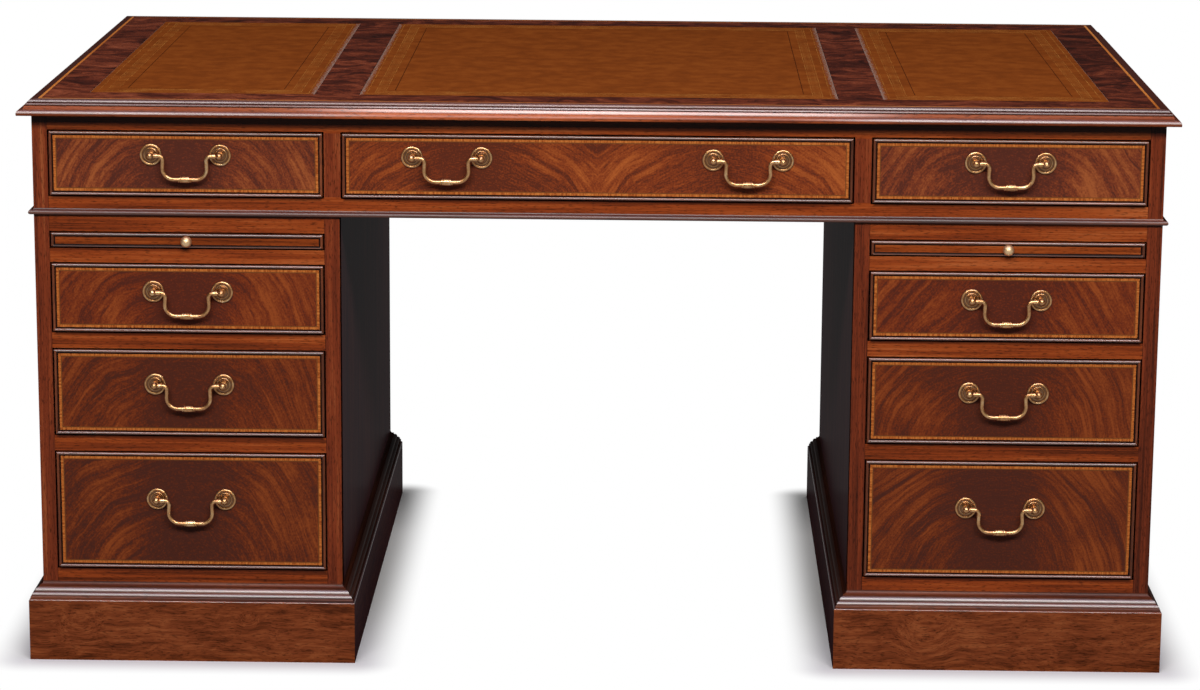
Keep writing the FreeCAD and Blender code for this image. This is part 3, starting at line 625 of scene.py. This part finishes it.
def frame_wood(node, muntin=None):
    """Rails with upright stiles at both ends, and upright muntins at the given distance from the middle."""
    low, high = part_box(node)
    material, tree, shader = new_finish(
        "mahogany_" + node, Roughness=0.42, Specular_IOR_Level=0.0, Coat_IOR=COAT_IOR, Coat_Roughness=0.12,
    )
    place = desk_place(tree)
    out = add(tree, "Math", place["X"], (low.x + high.x) / 2, operation="SUBTRACT")
    out = add(tree, "Math", out, operation="ABSOLUTE")
    stile_start = (high.x - low.x) / 2 - STILE_WIDTH
    upright = add(tree, "Math", out, stile_start, operation="GREATER_THAN")
    shade_share = shade_under_fronts(tree, node.split("_")[0])
    if muntin:
        (middle,), (reach,) = extents("frieze_centre_drawer_front", "Z")
        level = add(tree, "Math", place["Z"], middle, reach, operation="COMPARE")
        beside = add(tree, "Math", out, muntin, STILE_WIDTH, operation="COMPARE")
        upright = add(tree, "Math", level, beside, upright, operation="MULTIPLY_ADD")
        head = middle + reach
        # Painted shadow under the overhang of the top.
        overhang_shade = add(tree, "MapRange", place["Z"], head + OVERHANG_SHADE_START, head + OVERHANG_SHADE_FULL, To_Max=OVERHANG_SHADE_SHARE)
        shade_share = add(tree, "Math", shade_share, overhang_shade, operation="MAXIMUM")
    lift = add(tree, "MapRange", place["Z"], SHADED_FOOT, CLEAR_HEIGHT, FOOT_LIFT, 0.0)
    rails, rail_pores = wood_colour(tree, grain_along(tree, "X"), RAIL_TONES, lift=lift)
    stiles, stile_pores = wood_colour(tree, grain_along(tree, "Z"), STILE_TONES, lift=lift)
    colour = add(tree, "Mix", upright, rails, stiles, data_type="RGBA")
    pores = add(tree, "Mix", upright, rail_pores, stile_pores, data_type="FLOAT")
    seam = add(tree, "Math", out, stile_start, SEAM_HALF, operation="COMPARE")
    seam = add(tree, "Math", seam, SEAM_SHARE, operation="MULTIPLY")
    colour = add(tree, "Mix", seam, colour, shade("#1c0a05"), data_type="RGBA")
    # Painted shadow under the overhang and the drawer fronts.
    colour = add(tree, "Mix", shade_share, colour, shade("#0c0403"), data_type="RGBA")
    # Faces inside the openings are painted near-black as painted shade, and get no polish.
    side = add(tree, "Math", place["X"], operation="ABSOLUTE")
    side = add(tree, "Math", side, max(-low.x, high.x) - POLISHED_DEPTH, operation="GREATER_THAN")
    shown = add(tree, "Math", on_front(tree), side, operation="MAXIMUM")
    colour = add(tree, "Mix", shown, shade(GAP_SHADE), colour, data_type="RGBA")
    gloss = add(tree, "Math", shown, FRAME_GLOSS, operation="MULTIPLY")
    polish(tree, shader, colour, pores, gloss)
    give(material, node)


side_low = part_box("frieze_right_drawer_front")[0]
centre_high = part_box("frieze_centre_drawer_front")[1]
frame_wood("frieze_front_frame", (side_low.x + centre_high.x) / 2)
frame_wood("left_pedestal_front_frame")
frame_wood("right_pedestal_front_frame")
print("stiles", STILE_WIDTH / MM, "mm wide")

# %% [markdown]
# ## Cases and plinths
# The outer sides are polished like the front. The faces that look into the kneehole are left dull and are
# painted dark with a lilac tint, as painted shade and a painted reflection. A plinth takes knocks and mops,
# so it has lost its shine, apart from its upper arris, which is rubbed bright. Its grain wanders and flows
# round knots.

# %% Cases
KNEEHOLE_EDGE = 360 * MM
KNEEHOLE_SHADE_SHARE = 0.8
KNEEHOLE_GLOSS = 0.06
CASE_GLOSS = 0.07
CASE_POLISH = {"Roughness": 0.5, "Specular_IOR_Level": 0.0, "Coat_IOR": COAT_IOR, "Coat_Roughness": 0.15}
ARRIS = 1.6 * MM


def kneehole_wood(tree, shader, node, wood, outer_gloss, arris_gloss=0.0):
    """Joins a wood's colour and pores to its shader. Where it looks into the kneehole it is dull and painted
    dark as painted shade. The node gives the front and back faces and the upper arris."""
    low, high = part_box(node)
    colour, pores = wood
    place = desk_place(tree)
    out = add(tree, "Math", place["X"], operation="ABSOLUTE")
    outer = add(tree, "Math", out, KNEEHOLE_EDGE, operation="GREATER_THAN")
    front = add(tree, "Math", place["Y"], low.y + POLISHED_DEPTH, operation="LESS_THAN")
    back = add(tree, "Math", place["Y"], high.y - POLISHED_DEPTH, operation="GREATER_THAN")
    outer = add(tree, "Math", outer, front, operation="MAXIMUM")
    outer = add(tree, "Math", outer, back, operation="MAXIMUM")
    # Painted shade and a painted lilac reflection on the faces that look into the kneehole.
    dark = add(tree, "Mix", KNEEHOLE_SHADE_SHARE, colour, shade("#3a2a33"), data_type="RGBA")
    colour = add(tree, "Mix", outer, dark, colour, data_type="RGBA")
    gloss = add(tree, "MapRange", outer, To_Min=KNEEHOLE_GLOSS, To_Max=outer_gloss)
    arris = add(tree, "Math", place["Z"], high.z - ARRIS, operation="GREATER_THAN")
    arris = add(tree, "Math", arris, arris_gloss, operation="MULTIPLY")
    gloss = add(tree, "Math", gloss, arris, operation="MAXIMUM")
    polish(tree, shader, colour, pores, gloss)


material, tree, shader = new_finish("mahogany_case", **CASE_POLISH)
wood = wood_colour(tree, grain_along(tree, "Z"), STILE_TONES)
kneehole_wood(tree, shader, "left_pedestal_case", wood, CASE_GLOSS)
give(material, "left_pedestal_case", "right_pedestal_case")
material, tree, shader = new_finish("mahogany_frieze_case", **CASE_POLISH)
wood = wood_colour(tree, grain_round_node(tree, "frieze_carcass"), RAIL_TONES)
kneehole_wood(tree, shader, "frieze_carcass", wood, CASE_GLOSS)
give(material, "frieze_carcass")
print("kneehole faces lie within", KNEEHOLE_EDGE / MM, "mm of the middle")

# %% Plinths
PLINTH_TONES = ("#4f2411", "#71361b", "#824021", "#97522d")
PLINTH_STREAK = (45 * MM, 7 * MM)
PLINTH_SWIRL_SIZE = 60 * MM
PLINTH_SWIRL_REACH = (40 * MM, 16 * MM, 16 * MM)
PLINTH_GLOSS = 0.03
ARRIS_GLOSS = 0.6
KNOT_PUSH = 10 * MM
PLINTH_KNOTS = {
    "left_plinth": ((-465 * MM, 58 * MM, 18 * MM), (-690 * MM, 50 * MM, 40 * MM)),
    "right_plinth": ((445 * MM, 42 * MM, 48 * MM),),
}


def plinth_grain(tree, node, knots):
    """Wandering grain that also flows round knots. A knot is its place across and up, and its size."""
    grain = swirled(tree, grain_round_node(tree, node), PLINTH_SWIRL_SIZE, PLINTH_SWIRL_REACH)
    place = desk_place(tree)
    front = add(tree, "CombineXYZ", X=place["X"], Z=place["Z"])
    for across, up, size in knots:
        apart = add(tree, "VectorMath", front, (across, 0, up), operation="DISTANCE").outputs["Value"]
        near = add(tree, "MapRange", apart, 0.0, size, KNOT_PUSH, 0.0, interpolation_type="SMOOTHSTEP")
        push = add(tree, "CombineXYZ", Y=near, Z=near)
        grain = add(tree, "VectorMath", grain, push, operation="ADD")
    return grain


for node, knots in PLINTH_KNOTS.items():
    material, tree, shader = new_finish("mahogany_" + node, **CASE_POLISH)
    wood = wood_colour(tree, plinth_grain(tree, node, knots), PLINTH_TONES, PLINTH_STREAK)
    kneehole_wood(tree, shader, node, wood, PLINTH_GLOSS, ARRIS_GLOSS)
    give(material, node)
print("plinths", len(PLINTH_KNOTS))

# %% [markdown]
# ## Flame-veneered drawer fronts
# Flame veneer is cut where a trunk forks, and two leaves of it are opened like a book, so the figure arches
# over the middle of each front. Rings about a point below the drawer give that arch: the distance from the
# point goes across the fibres, and the angle goes along them. The arches are steeper on the right, as no fork
# is even. The heart of the fork is plain and dark, and the flames break up towards it. The wide centre front
# has four leaves, so it has two hearts.

# %% The arch of the veneer
ARCH_FOOT = 34 * MM
SQUEEZE_SHARES = {
    "lower": (0.95, 1.35), "middle": (0.95, 1.3), "upper": (0.9, 1.2),
    "left": (0.85, 0.9), "right": (0.85, 0.9), "centre": (0.7, 0.7),
}
ARCH_RADIUS = 120 * MM
WAVER_SIZE = 120 * MM
WAVER_REACH = 45 * MM


def arch_grain(tree, middle, half, wide, squeezes, seed):
    """Grain that follows arches over each heart of a front, the distance from that heart, and the place on
    the veneer. A wide front has two hearts."""
    place = desk_place(tree)
    side = add(tree, "Math", place["X"], middle[0], operation="SUBTRACT")
    out = add(tree, "Math", side, operation="ABSOLUTE")
    if wide:
        out = add(tree, "Math", out, half[0] / 2, operation="SUBTRACT")
        out = add(tree, "Math", out, operation="ABSOLUTE")
    squeeze = add(tree, "MapRange", side, -half[0] / 2, half[0] / 2, *squeezes)
    squeezed = add(tree, "Math", out, squeeze, operation="MULTIPLY")
    rise = add(tree, "Math", place["Z"], middle[1] - half[1] - ARCH_FOOT, operation="SUBTRACT")
    flat = add(tree, "CombineXYZ", squeezed, seed, rise)
    leaf = add(tree, "CombineXYZ", side, seed, rise)
    bent = add(tree, "SeparateXYZ", swirled(tree, flat, WAVER_SIZE, (WAVER_REACH, 0, WAVER_REACH))).outputs
    ring = add(tree, "CombineXYZ", X=bent["X"], Z=bent["Z"])
    reach = add(tree, "VectorMath", ring, operation="LENGTH").outputs["Value"]
    turn = add(tree, "Math", bent["Z"], bent["X"], operation="ARCTAN2")
    along = add(tree, "Math", turn, ARCH_RADIUS, operation="MULTIPLY")
    return add(tree, "CombineXYZ", along, reach, seed), out, leaf


print("arches stand", ARCH_FOOT / MM, "mm below each front")

# %% Flame figure
FLAME = (120 * MM, 9 * MM)
FLAME_RANGE = (0.34, 0.7)
FIBRE = (40 * MM, 2.4 * MM)
FIBRE_SHARE = 0.3
CURL_SIZE = 2.4 * MM
FLECK = (12 * MM, 2 * MM)
FLECK_MEAN = 2 * NOISE_MEAN
PATCH_SIZE = 70 * MM
PATCH_RANGE = (0.35, 0.6)
PATCH_SHARE = 0.45
HEART = 35 * MM
HEART_SHARE = 0.15
FULL_FLAME = 100 * MM
RIGHT_LIFT = 0.13
FLAME_PLACES = (0.05, 0.4, 0.95)
FLAME_TONES = {
    "lower": ("#4c261c", "#682e18", "#8c441f"),
    "middle": ("#4f261a", "#6d2f17", "#8d441f"),
    "upper": ("#54261a", "#743118", "#954921"),
    "left": ("#552a1f", "#7a3921", "#a0572e"),
    "right": ("#552a1f", "#7a3921", "#a0572e"),
    "centre": ("#5c2a1a", "#863c1c", "#ae5c2a"),
}


def flame_colour(tree, grain, out, leaf, tones):
    """Soft bands and fine fibres that follow the arches and fade towards the heart. The right is paler."""
    fibres = marks(tree, grain, FIBRE, detail=3)
    flames = marks(tree, grain, FLAME, detail=1)
    bands = add(tree, "Mix", FIBRE_SHARE, flames, fibres, data_type="FLOAT")
    strength = add(tree, "MapRange", bands, *FLAME_RANGE)
    lively = add(tree, "MapRange", out, HEART, FULL_FLAME, HEART_SHARE, 1.0)
    patches = add(tree, "TexNoise", Vector=leaf, Scale=1 / PATCH_SIZE, Detail=2.0).outputs[0]
    patchy = add(tree, "MapRange", patches, *PATCH_RANGE, PATCH_SHARE, 1.0)
    lively = add(tree, "Math", lively, patchy, operation="MULTIPLY")
    strength = add(tree, "Math", strength, lively, operation="MULTIPLY")
    curl = add(tree, "TexNoise", Vector=leaf, Scale=1 / CURL_SIZE, Detail=2.0).outputs[0]
    flecks = add(tree, "Math", marks(tree, grain, FLECK, detail=2), curl, operation="ADD")
    flecks = add(tree, "Math", flecks, FLECK_MEAN, operation="SUBTRACT")
    strength = add(tree, "Math", strength, flecks, operation="ADD")
    across = add(tree, "SeparateXYZ", leaf).outputs["X"]
    paler = add(tree, "MapRange", across, From_Max=FULL_FLAME, To_Max=RIGHT_LIFT)
    strength = add(tree, "Math", strength, paler, operation="ADD")
    return add(tree, "ValToRGB", strength, stops=tuple(zip(FLAME_PLACES, tones))), fibres


print("flames", FLAME[1] / MM, "mm wide")

# %% [markdown]
# ## Banding and cock beads
# A strip of satinwood crossbanding runs round each front, with its grain across the strip, and a thin paler
# line inside it. Outside it stands the cock bead, a rounded strip that guards the veneer's edge. The bead is
# rubbed bright, and shade is painted as a dark line in the corner behind it.

# %% Banding and beads
BEAD_WIDTH = 3.6 * MM
SHADE_LINE_WIDTH = 2.0 * MM
BANDING_WIDTH = 3.2 * MM
INNER_LINE = 1.2 * MM
BANDING_TICK = (2.4 * MM, 11 * MM, 11 * MM)
BEAD_TONES = ("#45200f", "#643015", "#763a1b", "#8f4c2a")
BANDING_TONES = ("#94491c", "#b0602a", "#bb6a2e", "#c97a3a")


def beaded(tree, face, inside, beside, run):
    """Puts the cock bead's wood round a face. Gives the face and how brightly the bead there is rubbed."""
    on_bead = add(tree, "Math", inside, BEAD_WIDTH, operation="LESS_THAN")
    bead = wood_colour(tree, run, BEAD_TONES)[0]
    face = add(tree, "Mix", on_bead, face, bead, data_type="RGBA")
    rubbed = add(tree, "MapRange", beside, To_Min=1.0, To_Max=SIDE_GLOSS_SHARE)
    return face, add(tree, "Math", on_bead, rubbed, operation="MULTIPLY")


def banded(tree, face, middle, half):
    """Lays the banding, its inner line, painted shade and the bead round a face. Gives the bead's gloss too.
    """
    inside, beside = border(tree, "XZ", middle, half)
    run = grain_round(tree, "XZ", middle, half)
    cross = add(tree, "VectorMath", run, BANDING_TICK, operation="DIVIDE")
    ticks = add(tree, "TexNoise", Vector=cross, Scale=1.0, Detail=3.0).outputs[0]
    banding = add(tree, "ValToRGB", ticks, stops=tuple(zip(TONE_PLACES, BANDING_TONES)))
    # A dark line of painted shade lies in the corner behind the bead.
    shade_line_end = BEAD_WIDTH + SHADE_LINE_WIDTH
    banding_end = shade_line_end + BANDING_WIDTH
    line_end = banding_end + INNER_LINE
    for edge, layer in ((line_end, shade("#754522")), (banding_end, banding), (shade_line_end, shade(PAINTED_SHADE))):
        within = add(tree, "Math", inside, edge, operation="LESS_THAN")
        face = add(tree, "Mix", within, face, layer, data_type="RGBA")
    return beaded(tree, face, inside, beside, run)


print("banding", BANDING_WIDTH / MM, "mm wide")

# %% Drawer fronts
FRONT_GLOSS = 0.035
FRONT_POLISH = {"Roughness": 0.4, "Specular_IOR_Level": 0.04, "Coat_IOR": COAT_IOR, "Coat_Roughness": 0.4}
SEED_STEP = 0.37


def flame_front(node, seed):
    """A veneered front with banding and cock bead, and painted shade behind its front face."""
    middle, half = extents(node, "XZ")
    material, tree, shader = new_finish("flame_mahogany_" + node, **FRONT_POLISH)
    level = node.split("_")[1]
    grain, out, leaf = arch_grain(tree, middle, half, level == "centre", SQUEEZE_SHARES[level], seed)
    face, fibres = flame_colour(tree, grain, out, leaf, FLAME_TONES[level])
    face, on_bead = banded(tree, face, middle, half)
    # Behind its front face the front is painted near-black as painted shade.
    face = add(tree, "Mix", on_front(tree), shade(GAP_SHADE), face, data_type="RGBA")
    gloss = add(tree, "MapRange", on_bead, To_Min=FRONT_GLOSS)
    polish(tree, shader, face, fibres, gloss)
    give(material, node)


for number, node in enumerate(fronts):
    flame_front(node, number * SEED_STEP)
print("flame fronts", len(fronts))

# %% [markdown]
# ## Brushing slides, linings and runners
# A brushing slide is a plain board with a straight-grained edge and the same bead. Inside, the drawers are
# lined with thin waxed boards of a paler, plainer wood, which has no polish to mirror anything.

# %% Slides and inside wood
SLIDE_TONES = ("#5a240c", "#833a14", "#974519", "#b0602f")
LINING_TONES = ("#6d4120", "#8c5932", "#9d6a42", "#b9895f")
FRONT_DEPTH = 6 * MM


def slide_wood(node):
    """Straight-grained wood with a bead round its front edge."""
    middle, half = extents(node, "XZ")
    material, tree, shader = new_finish("mahogany_" + node, **FRONT_POLISH)
    board, pores = wood_colour(tree, grain_along(tree, "X"), SLIDE_TONES)
    inside, beside = border(tree, "XZ", middle, half)
    # A dark line of painted shade lies in the corner behind the bead.
    shade_line = add(tree, "Math", inside, BEAD_WIDTH + SHADE_LINE_WIDTH, operation="LESS_THAN")
    face = add(tree, "Mix", shade_line, board, shade(PAINTED_SHADE), data_type="RGBA")
    face, on_bead = beaded(tree, face, inside, beside, grain_round(tree, "XZ", middle, half))
    leaf = add(tree, "Math", desk_place(tree)["Y"], FRONT_FACE + FRONT_DEPTH, operation="GREATER_THAN")
    face = add(tree, "Mix", leaf, face, board, data_type="RGBA")
    gloss = add(tree, "MapRange", on_bead, To_Min=FRONT_GLOSS)
    polish(tree, shader, face, pores, gloss)
    give(material, node)


slide_wood("left_slide")
slide_wood("right_slide")
lining, tree, shader = new_finish("waxed_lining", Roughness=0.6, Specular_IOR_Level=0.2)
polish(tree, shader, *wood_colour(tree, grain_along(tree, "Y"), LINING_TONES))
linings = [name for name in nodes if name.endswith(("_drawer_box", "_runners"))]
give(lining, *linings)
print("lined nodes", len(linings))

# %% [markdown]
# ## The veneered border of the top
# The wood round the leather is a darker, wilder cut, laid with its figure running across the desk, and a
# satinwood string is let in near the edge. The top is seen at a flat angle, where any gloss turns to glare,
# so it has the softer shine of a hand-rubbed surface.

# %% Top border and string
TOP_STREAK = (60 * MM, 24 * MM)
SWIRL_SIZE = 90 * MM
SWIRL_REACH = 150 * MM
END_LIFTS = (0.02, -0.03)
TOP_TONES = ("#2a110b", "#481d12", "#652c18", "#87452a")
STRING_TONES = ("#8f4c16", "#b06423", "#bb6f2b", "#cf8a45")

border_wood, tree, shader = new_finish("figured_border", Roughness=0.5, Specular_IOR_Level=0.02)
grain = swirled(tree, grain_along(tree, "X"), SWIRL_SIZE, (SWIRL_REACH,) * 3)
lift = add(tree, "MapRange", desk_place(tree)["X"], cad_box[0][0], cad_box[1][0], *END_LIFTS)
polish(tree, shader, *wood_colour(tree, grain, TOP_TONES, TOP_STREAK, lift))
give(border_wood, "top_board")
string, tree, shader = new_finish("satinwood_string", Roughness=0.5, Specular_IOR_Level=0.02)
polish(tree, shader, *wood_colour(tree, grain_round_node(tree, "top_stringing"), STRING_TONES))
give(string, "top_stringing")
print("top figure", TOP_STREAK[1] / MM, "mm wide")

# %% [markdown]
# ## Tooled leather
# A desk's leather is a thin hide glued into a shallow pocket, and its border is pressed with hot wheels: some
# lines take gold leaf and some are left blind. Each panel starts as a slab that fills its pocket. Its upper
# face is then inset again and again, and each pressed line is one inset down and one inset up.

# %% Leather panels
PANEL_SLIT = 0.3 * MM
PANEL_TOP_DROP = 0.15 * MM
PANEL_ROLL = 0.4 * MM
ROLL_INSET_SHARES = (0.5, 1.0)
ROLL_RISE_SHARES = (0.7, 0.3)
EDGE_LINE = 9 * MM
CHAIN_START = 20 * MM
CHAIN_END = 33 * MM
BLIND_LINE = 45 * MM
LINE_HALF = 0.6 * MM
PRESS_DEPTH = 0.15 * MM
MOSTLY_UP = 0.9


def press_line(at, so_far):
    """Insets the chosen face to a line and presses it. Gives how far in the face then begins."""
    bpy.ops.mesh.inset(thickness=at - LINE_HALF - so_far, depth=0)
    bpy.ops.mesh.inset(thickness=LINE_HALF, depth=-PRESS_DEPTH)
    bpy.ops.mesh.inset(thickness=LINE_HALF, depth=PRESS_DEPTH)
    return at + LINE_HALF


def leather_panel(side):
    """A slab in its pocket, with a rolled edge and pressed lines."""
    low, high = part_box("leather_" + side)
    bpy.ops.object.select_all(action="DESELECT")
    bpy.ops.mesh.primitive_cube_add(size=1, location=(low + high) / 2)
    panel = bpy.context.object
    panel.name = "tooled_leather_" + side
    panel.dimensions = (high.x - low.x - 2 * PANEL_SLIT, high.y - low.y - 2 * PANEL_SLIT, high.z - low.z)
    bpy.ops.object.transform_apply(location=True, rotation=True, scale=True)
    for face in panel.data.polygons:
        face.select = face.normal.z > MOSTLY_UP
    bpy.context.tool_settings.mesh_select_mode = (False, False, True)
    bpy.ops.object.mode_set(mode="EDIT")
    bpy.ops.transform.translate(value=(0, 0, -PANEL_TOP_DROP - PANEL_ROLL))
    reached = 0.0
    for inset, rise in zip(ROLL_INSET_SHARES, ROLL_RISE_SHARES):
        bpy.ops.mesh.inset(thickness=PANEL_ROLL * inset, depth=PANEL_ROLL * rise)
        reached += PANEL_ROLL * inset
    for at in (EDGE_LINE, CHAIN_START, CHAIN_END, BLIND_LINE):
        reached = press_line(at, reached)
    bpy.ops.object.mode_set(mode="OBJECT")
    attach(panel, "desk")
    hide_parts("leather_" + side)
    return panel


panels = {side: leather_panel(side) for side in ("left", "centre", "right")}
print("leather faces", [len(panel.data.polygons) for panel in panels.values()])

# %% [markdown]
# ## The hide's finish
# The hide is stained tan by hand, so it clouds a little, and its skin is a net of tiny pebbles. The gold in
# the pressed lines and in the chain between them has worn thin. Beside the two inner bands the edge has been
# rubbed pale in specks. Lines across the view are drawn wider than real ones, which are too fine to show.

# %% Gold tooling
CHAIN_PITCH = 14 * MM
CHAIN_SPREAD = 1.5
CHAIN_THREAD = 0.16
ACROSS_HALF = 2.2 * MM


def tooling(tree, inside, beside, run):
    """1 on the gilt lines and on the chain of two crossed waves between them."""
    half = add(tree, "MapRange", beside, To_Min=ACROSS_HALF, To_Max=LINE_HALF)
    wave = add(tree, "Math", run, math.tau / CHAIN_PITCH, operation="MULTIPLY")
    wave = add(tree, "Math", wave, operation="SINE")
    wave = add(tree, "Math", wave, operation="ABSOLUTE")
    across = add(tree, "MapRange", inside, CHAIN_START, CHAIN_END, -CHAIN_SPREAD, CHAIN_SPREAD, clamp=False)
    across = add(tree, "Math", across, operation="ABSOLUTE")
    gold = add(tree, "Math", across, wave, CHAIN_THREAD, operation="COMPARE")
    for at in (EDGE_LINE, CHAIN_START, CHAIN_END):
        line = add(tree, "Math", inside, at, half, operation="COMPARE")
        gold = add(tree, "Math", gold, line, operation="MAXIMUM")
    return gold


print("chain pitch", CHAIN_PITCH / MM, "mm")

# %% Tan leather
HIDE_TONES = ("#6b3513", "#723914", "#753b15", "#7b4017")
CLOUD_SIZE = 26 * MM
WORN_GOLD_SIZE = 25 * MM
WORN_GOLD_RANGE = (0.36, 0.66)
PALE_LINE = 1 * MM
SPECK_SIZE = 3 * MM
SPECK_RANGE = (0.42, 0.62)
SPECK_WIDTH = 6 * MM
OUTER_EDGE = 500 * MM
PEBBLE_SIZE = 1.6 * MM
PEBBLE_DEPTH = 0.1 * MM


def tan_leather(side):
    """Stained hide with worn gold tooling, set out from its own panel's edges."""
    middle, half = extents("leather_" + side, "XY")
    material, tree, shader = new_finish("tan_leather_" + side, Roughness=0.6, Specular_IOR_Level=0.0)
    whole = add(tree, "TexCoord").outputs["Object"]
    cloud = add(tree, "TexNoise", Vector=whole, Scale=1 / CLOUD_SIZE, Detail=5.0, Roughness=0.6).outputs[0]
    colour = add(tree, "ValToRGB", cloud, stops=tuple(zip(TONE_PLACES, HIDE_TONES)))
    inside, beside = border(tree, "XY", middle, half)
    run = add(tree, "SeparateXYZ", grain_round(tree, "XY", middle, half)).outputs["X"]
    worn = add(tree, "TexNoise", Vector=whole, Scale=1 / WORN_GOLD_SIZE, Detail=5.0, Roughness=0.7).outputs[0]
    left_on = add(tree, "MapRange", worn, *WORN_GOLD_RANGE)
    gold = add(tree, "Math", tooling(tree, inside, beside, run), left_on, operation="MULTIPLY")
    blind = add(tree, "Math", inside, BLIND_LINE, LINE_HALF, operation="COMPARE")
    specks = add(tree, "TexNoise", Vector=whole, Scale=1 / SPECK_SIZE, Detail=3.0).outputs[0]
    out = add(tree, "Math", desk_place(tree)["X"], operation="ABSOLUTE")
    inner = add(tree, "Math", out, OUTER_EDGE, operation="LESS_THAN")
    inner = add(tree, "Math", inner, beside, operation="MULTIPLY")
    reach = add(tree, "MapRange", specks, *SPECK_RANGE, To_Max=SPECK_WIDTH)
    reach = add(tree, "Math", reach, inner, PALE_LINE, operation="MULTIPLY_ADD")
    pale = add(tree, "Math", inside, reach, operation="LESS_THAN")
    for layer, code in ((blind, "#47220e"), (gold, "#93602b"), (pale, "#7f6659")):
        colour = add(tree, "Mix", layer, colour, shade(code), data_type="RGBA")
    tree.links.new(colour.outputs[2], shader.inputs["Base Color"])
    pebbles = add(tree, "TexVoronoi", Vector=whole, Scale=1 / PEBBLE_SIZE).outputs["Distance"]
    skin = add(tree, "Bump", Strength=0.35, Distance=PEBBLE_DEPTH, Height=pebbles)
    tree.links.new(skin.outputs[0], shader.inputs["Normal"])
    return material


for side, panel in panels.items():
    panel.data.materials.append(tan_leather(side))
print("leather panels", len(panels))

# %% [markdown]
# ## Aged brass
# The handles are cast and turned brass under a worn lacquer. Handling keeps the high places bright, and the
# hollows of the rosettes near the wood have gone brown. Depth from the drawer front is a good guide to that,
# because hands don't reach the hollows. The two small knobs are worn pale and even.

# %% Brass
HOLLOW_DEPTH = 0.9 * MM
BRIGHT_DEPTH = 2.6 * MM
TARNISH_SIZE = 9 * MM
TARNISH_STOPS = ((0.35, "#b27c4a"), (0.52, "#d8a267"), (0.7, "#efcb98"))
ROUGH_RANGE = (0.3, 0.7)
ROUGHNESSES = (0.4, 0.3)


def aged_brass():
    """Metal that is brown near the drawer front and bright further out, under a thin lacquer."""
    material, tree, shader = new_finish("aged_brass", Metallic=1.0, Coat_Weight=1.0, Coat_Roughness=0.12)
    whole = add(tree, "TexCoord").outputs["Object"]
    proud = add(tree, "Math", FRONT_FACE, desk_place(tree)["Y"], operation="SUBTRACT")
    bright = add(tree, "MapRange", proud, HOLLOW_DEPTH, BRIGHT_DEPTH)
    tarnish = add(tree, "TexNoise", Vector=whole, Scale=1 / TARNISH_SIZE, Detail=5.0, Roughness=0.65)
    rubbed = add(tree, "ValToRGB", tarnish.outputs[0], stops=TARNISH_STOPS)
    colour = add(tree, "Mix", bright, shade("#865a34"), rubbed, data_type="RGBA")
    tree.links.new(colour.outputs[2], shader.inputs["Base Color"])
    rough = add(tree, "MapRange", tarnish.outputs[0], *ROUGH_RANGE, *ROUGHNESSES)
    tree.links.new(rough.outputs[0], shader.inputs["Roughness"])
    return material


metal = [name for name in nodes if name.endswith(("_bail", "_handle_posts"))]
give(aged_brass(), *metal)
knobs = [name for name in nodes if name.endswith("_slide_knob")]
pale_brass = new_finish("pale_brass", Metallic=1.0, Base_Color=shade("#f4cf9c"), Roughness=0.5,
                        Coat_Weight=1.0, Coat_Roughness=0.3)[0]
give(pale_brass, *knobs)
print("brass nodes", len(metal) + len(knobs))
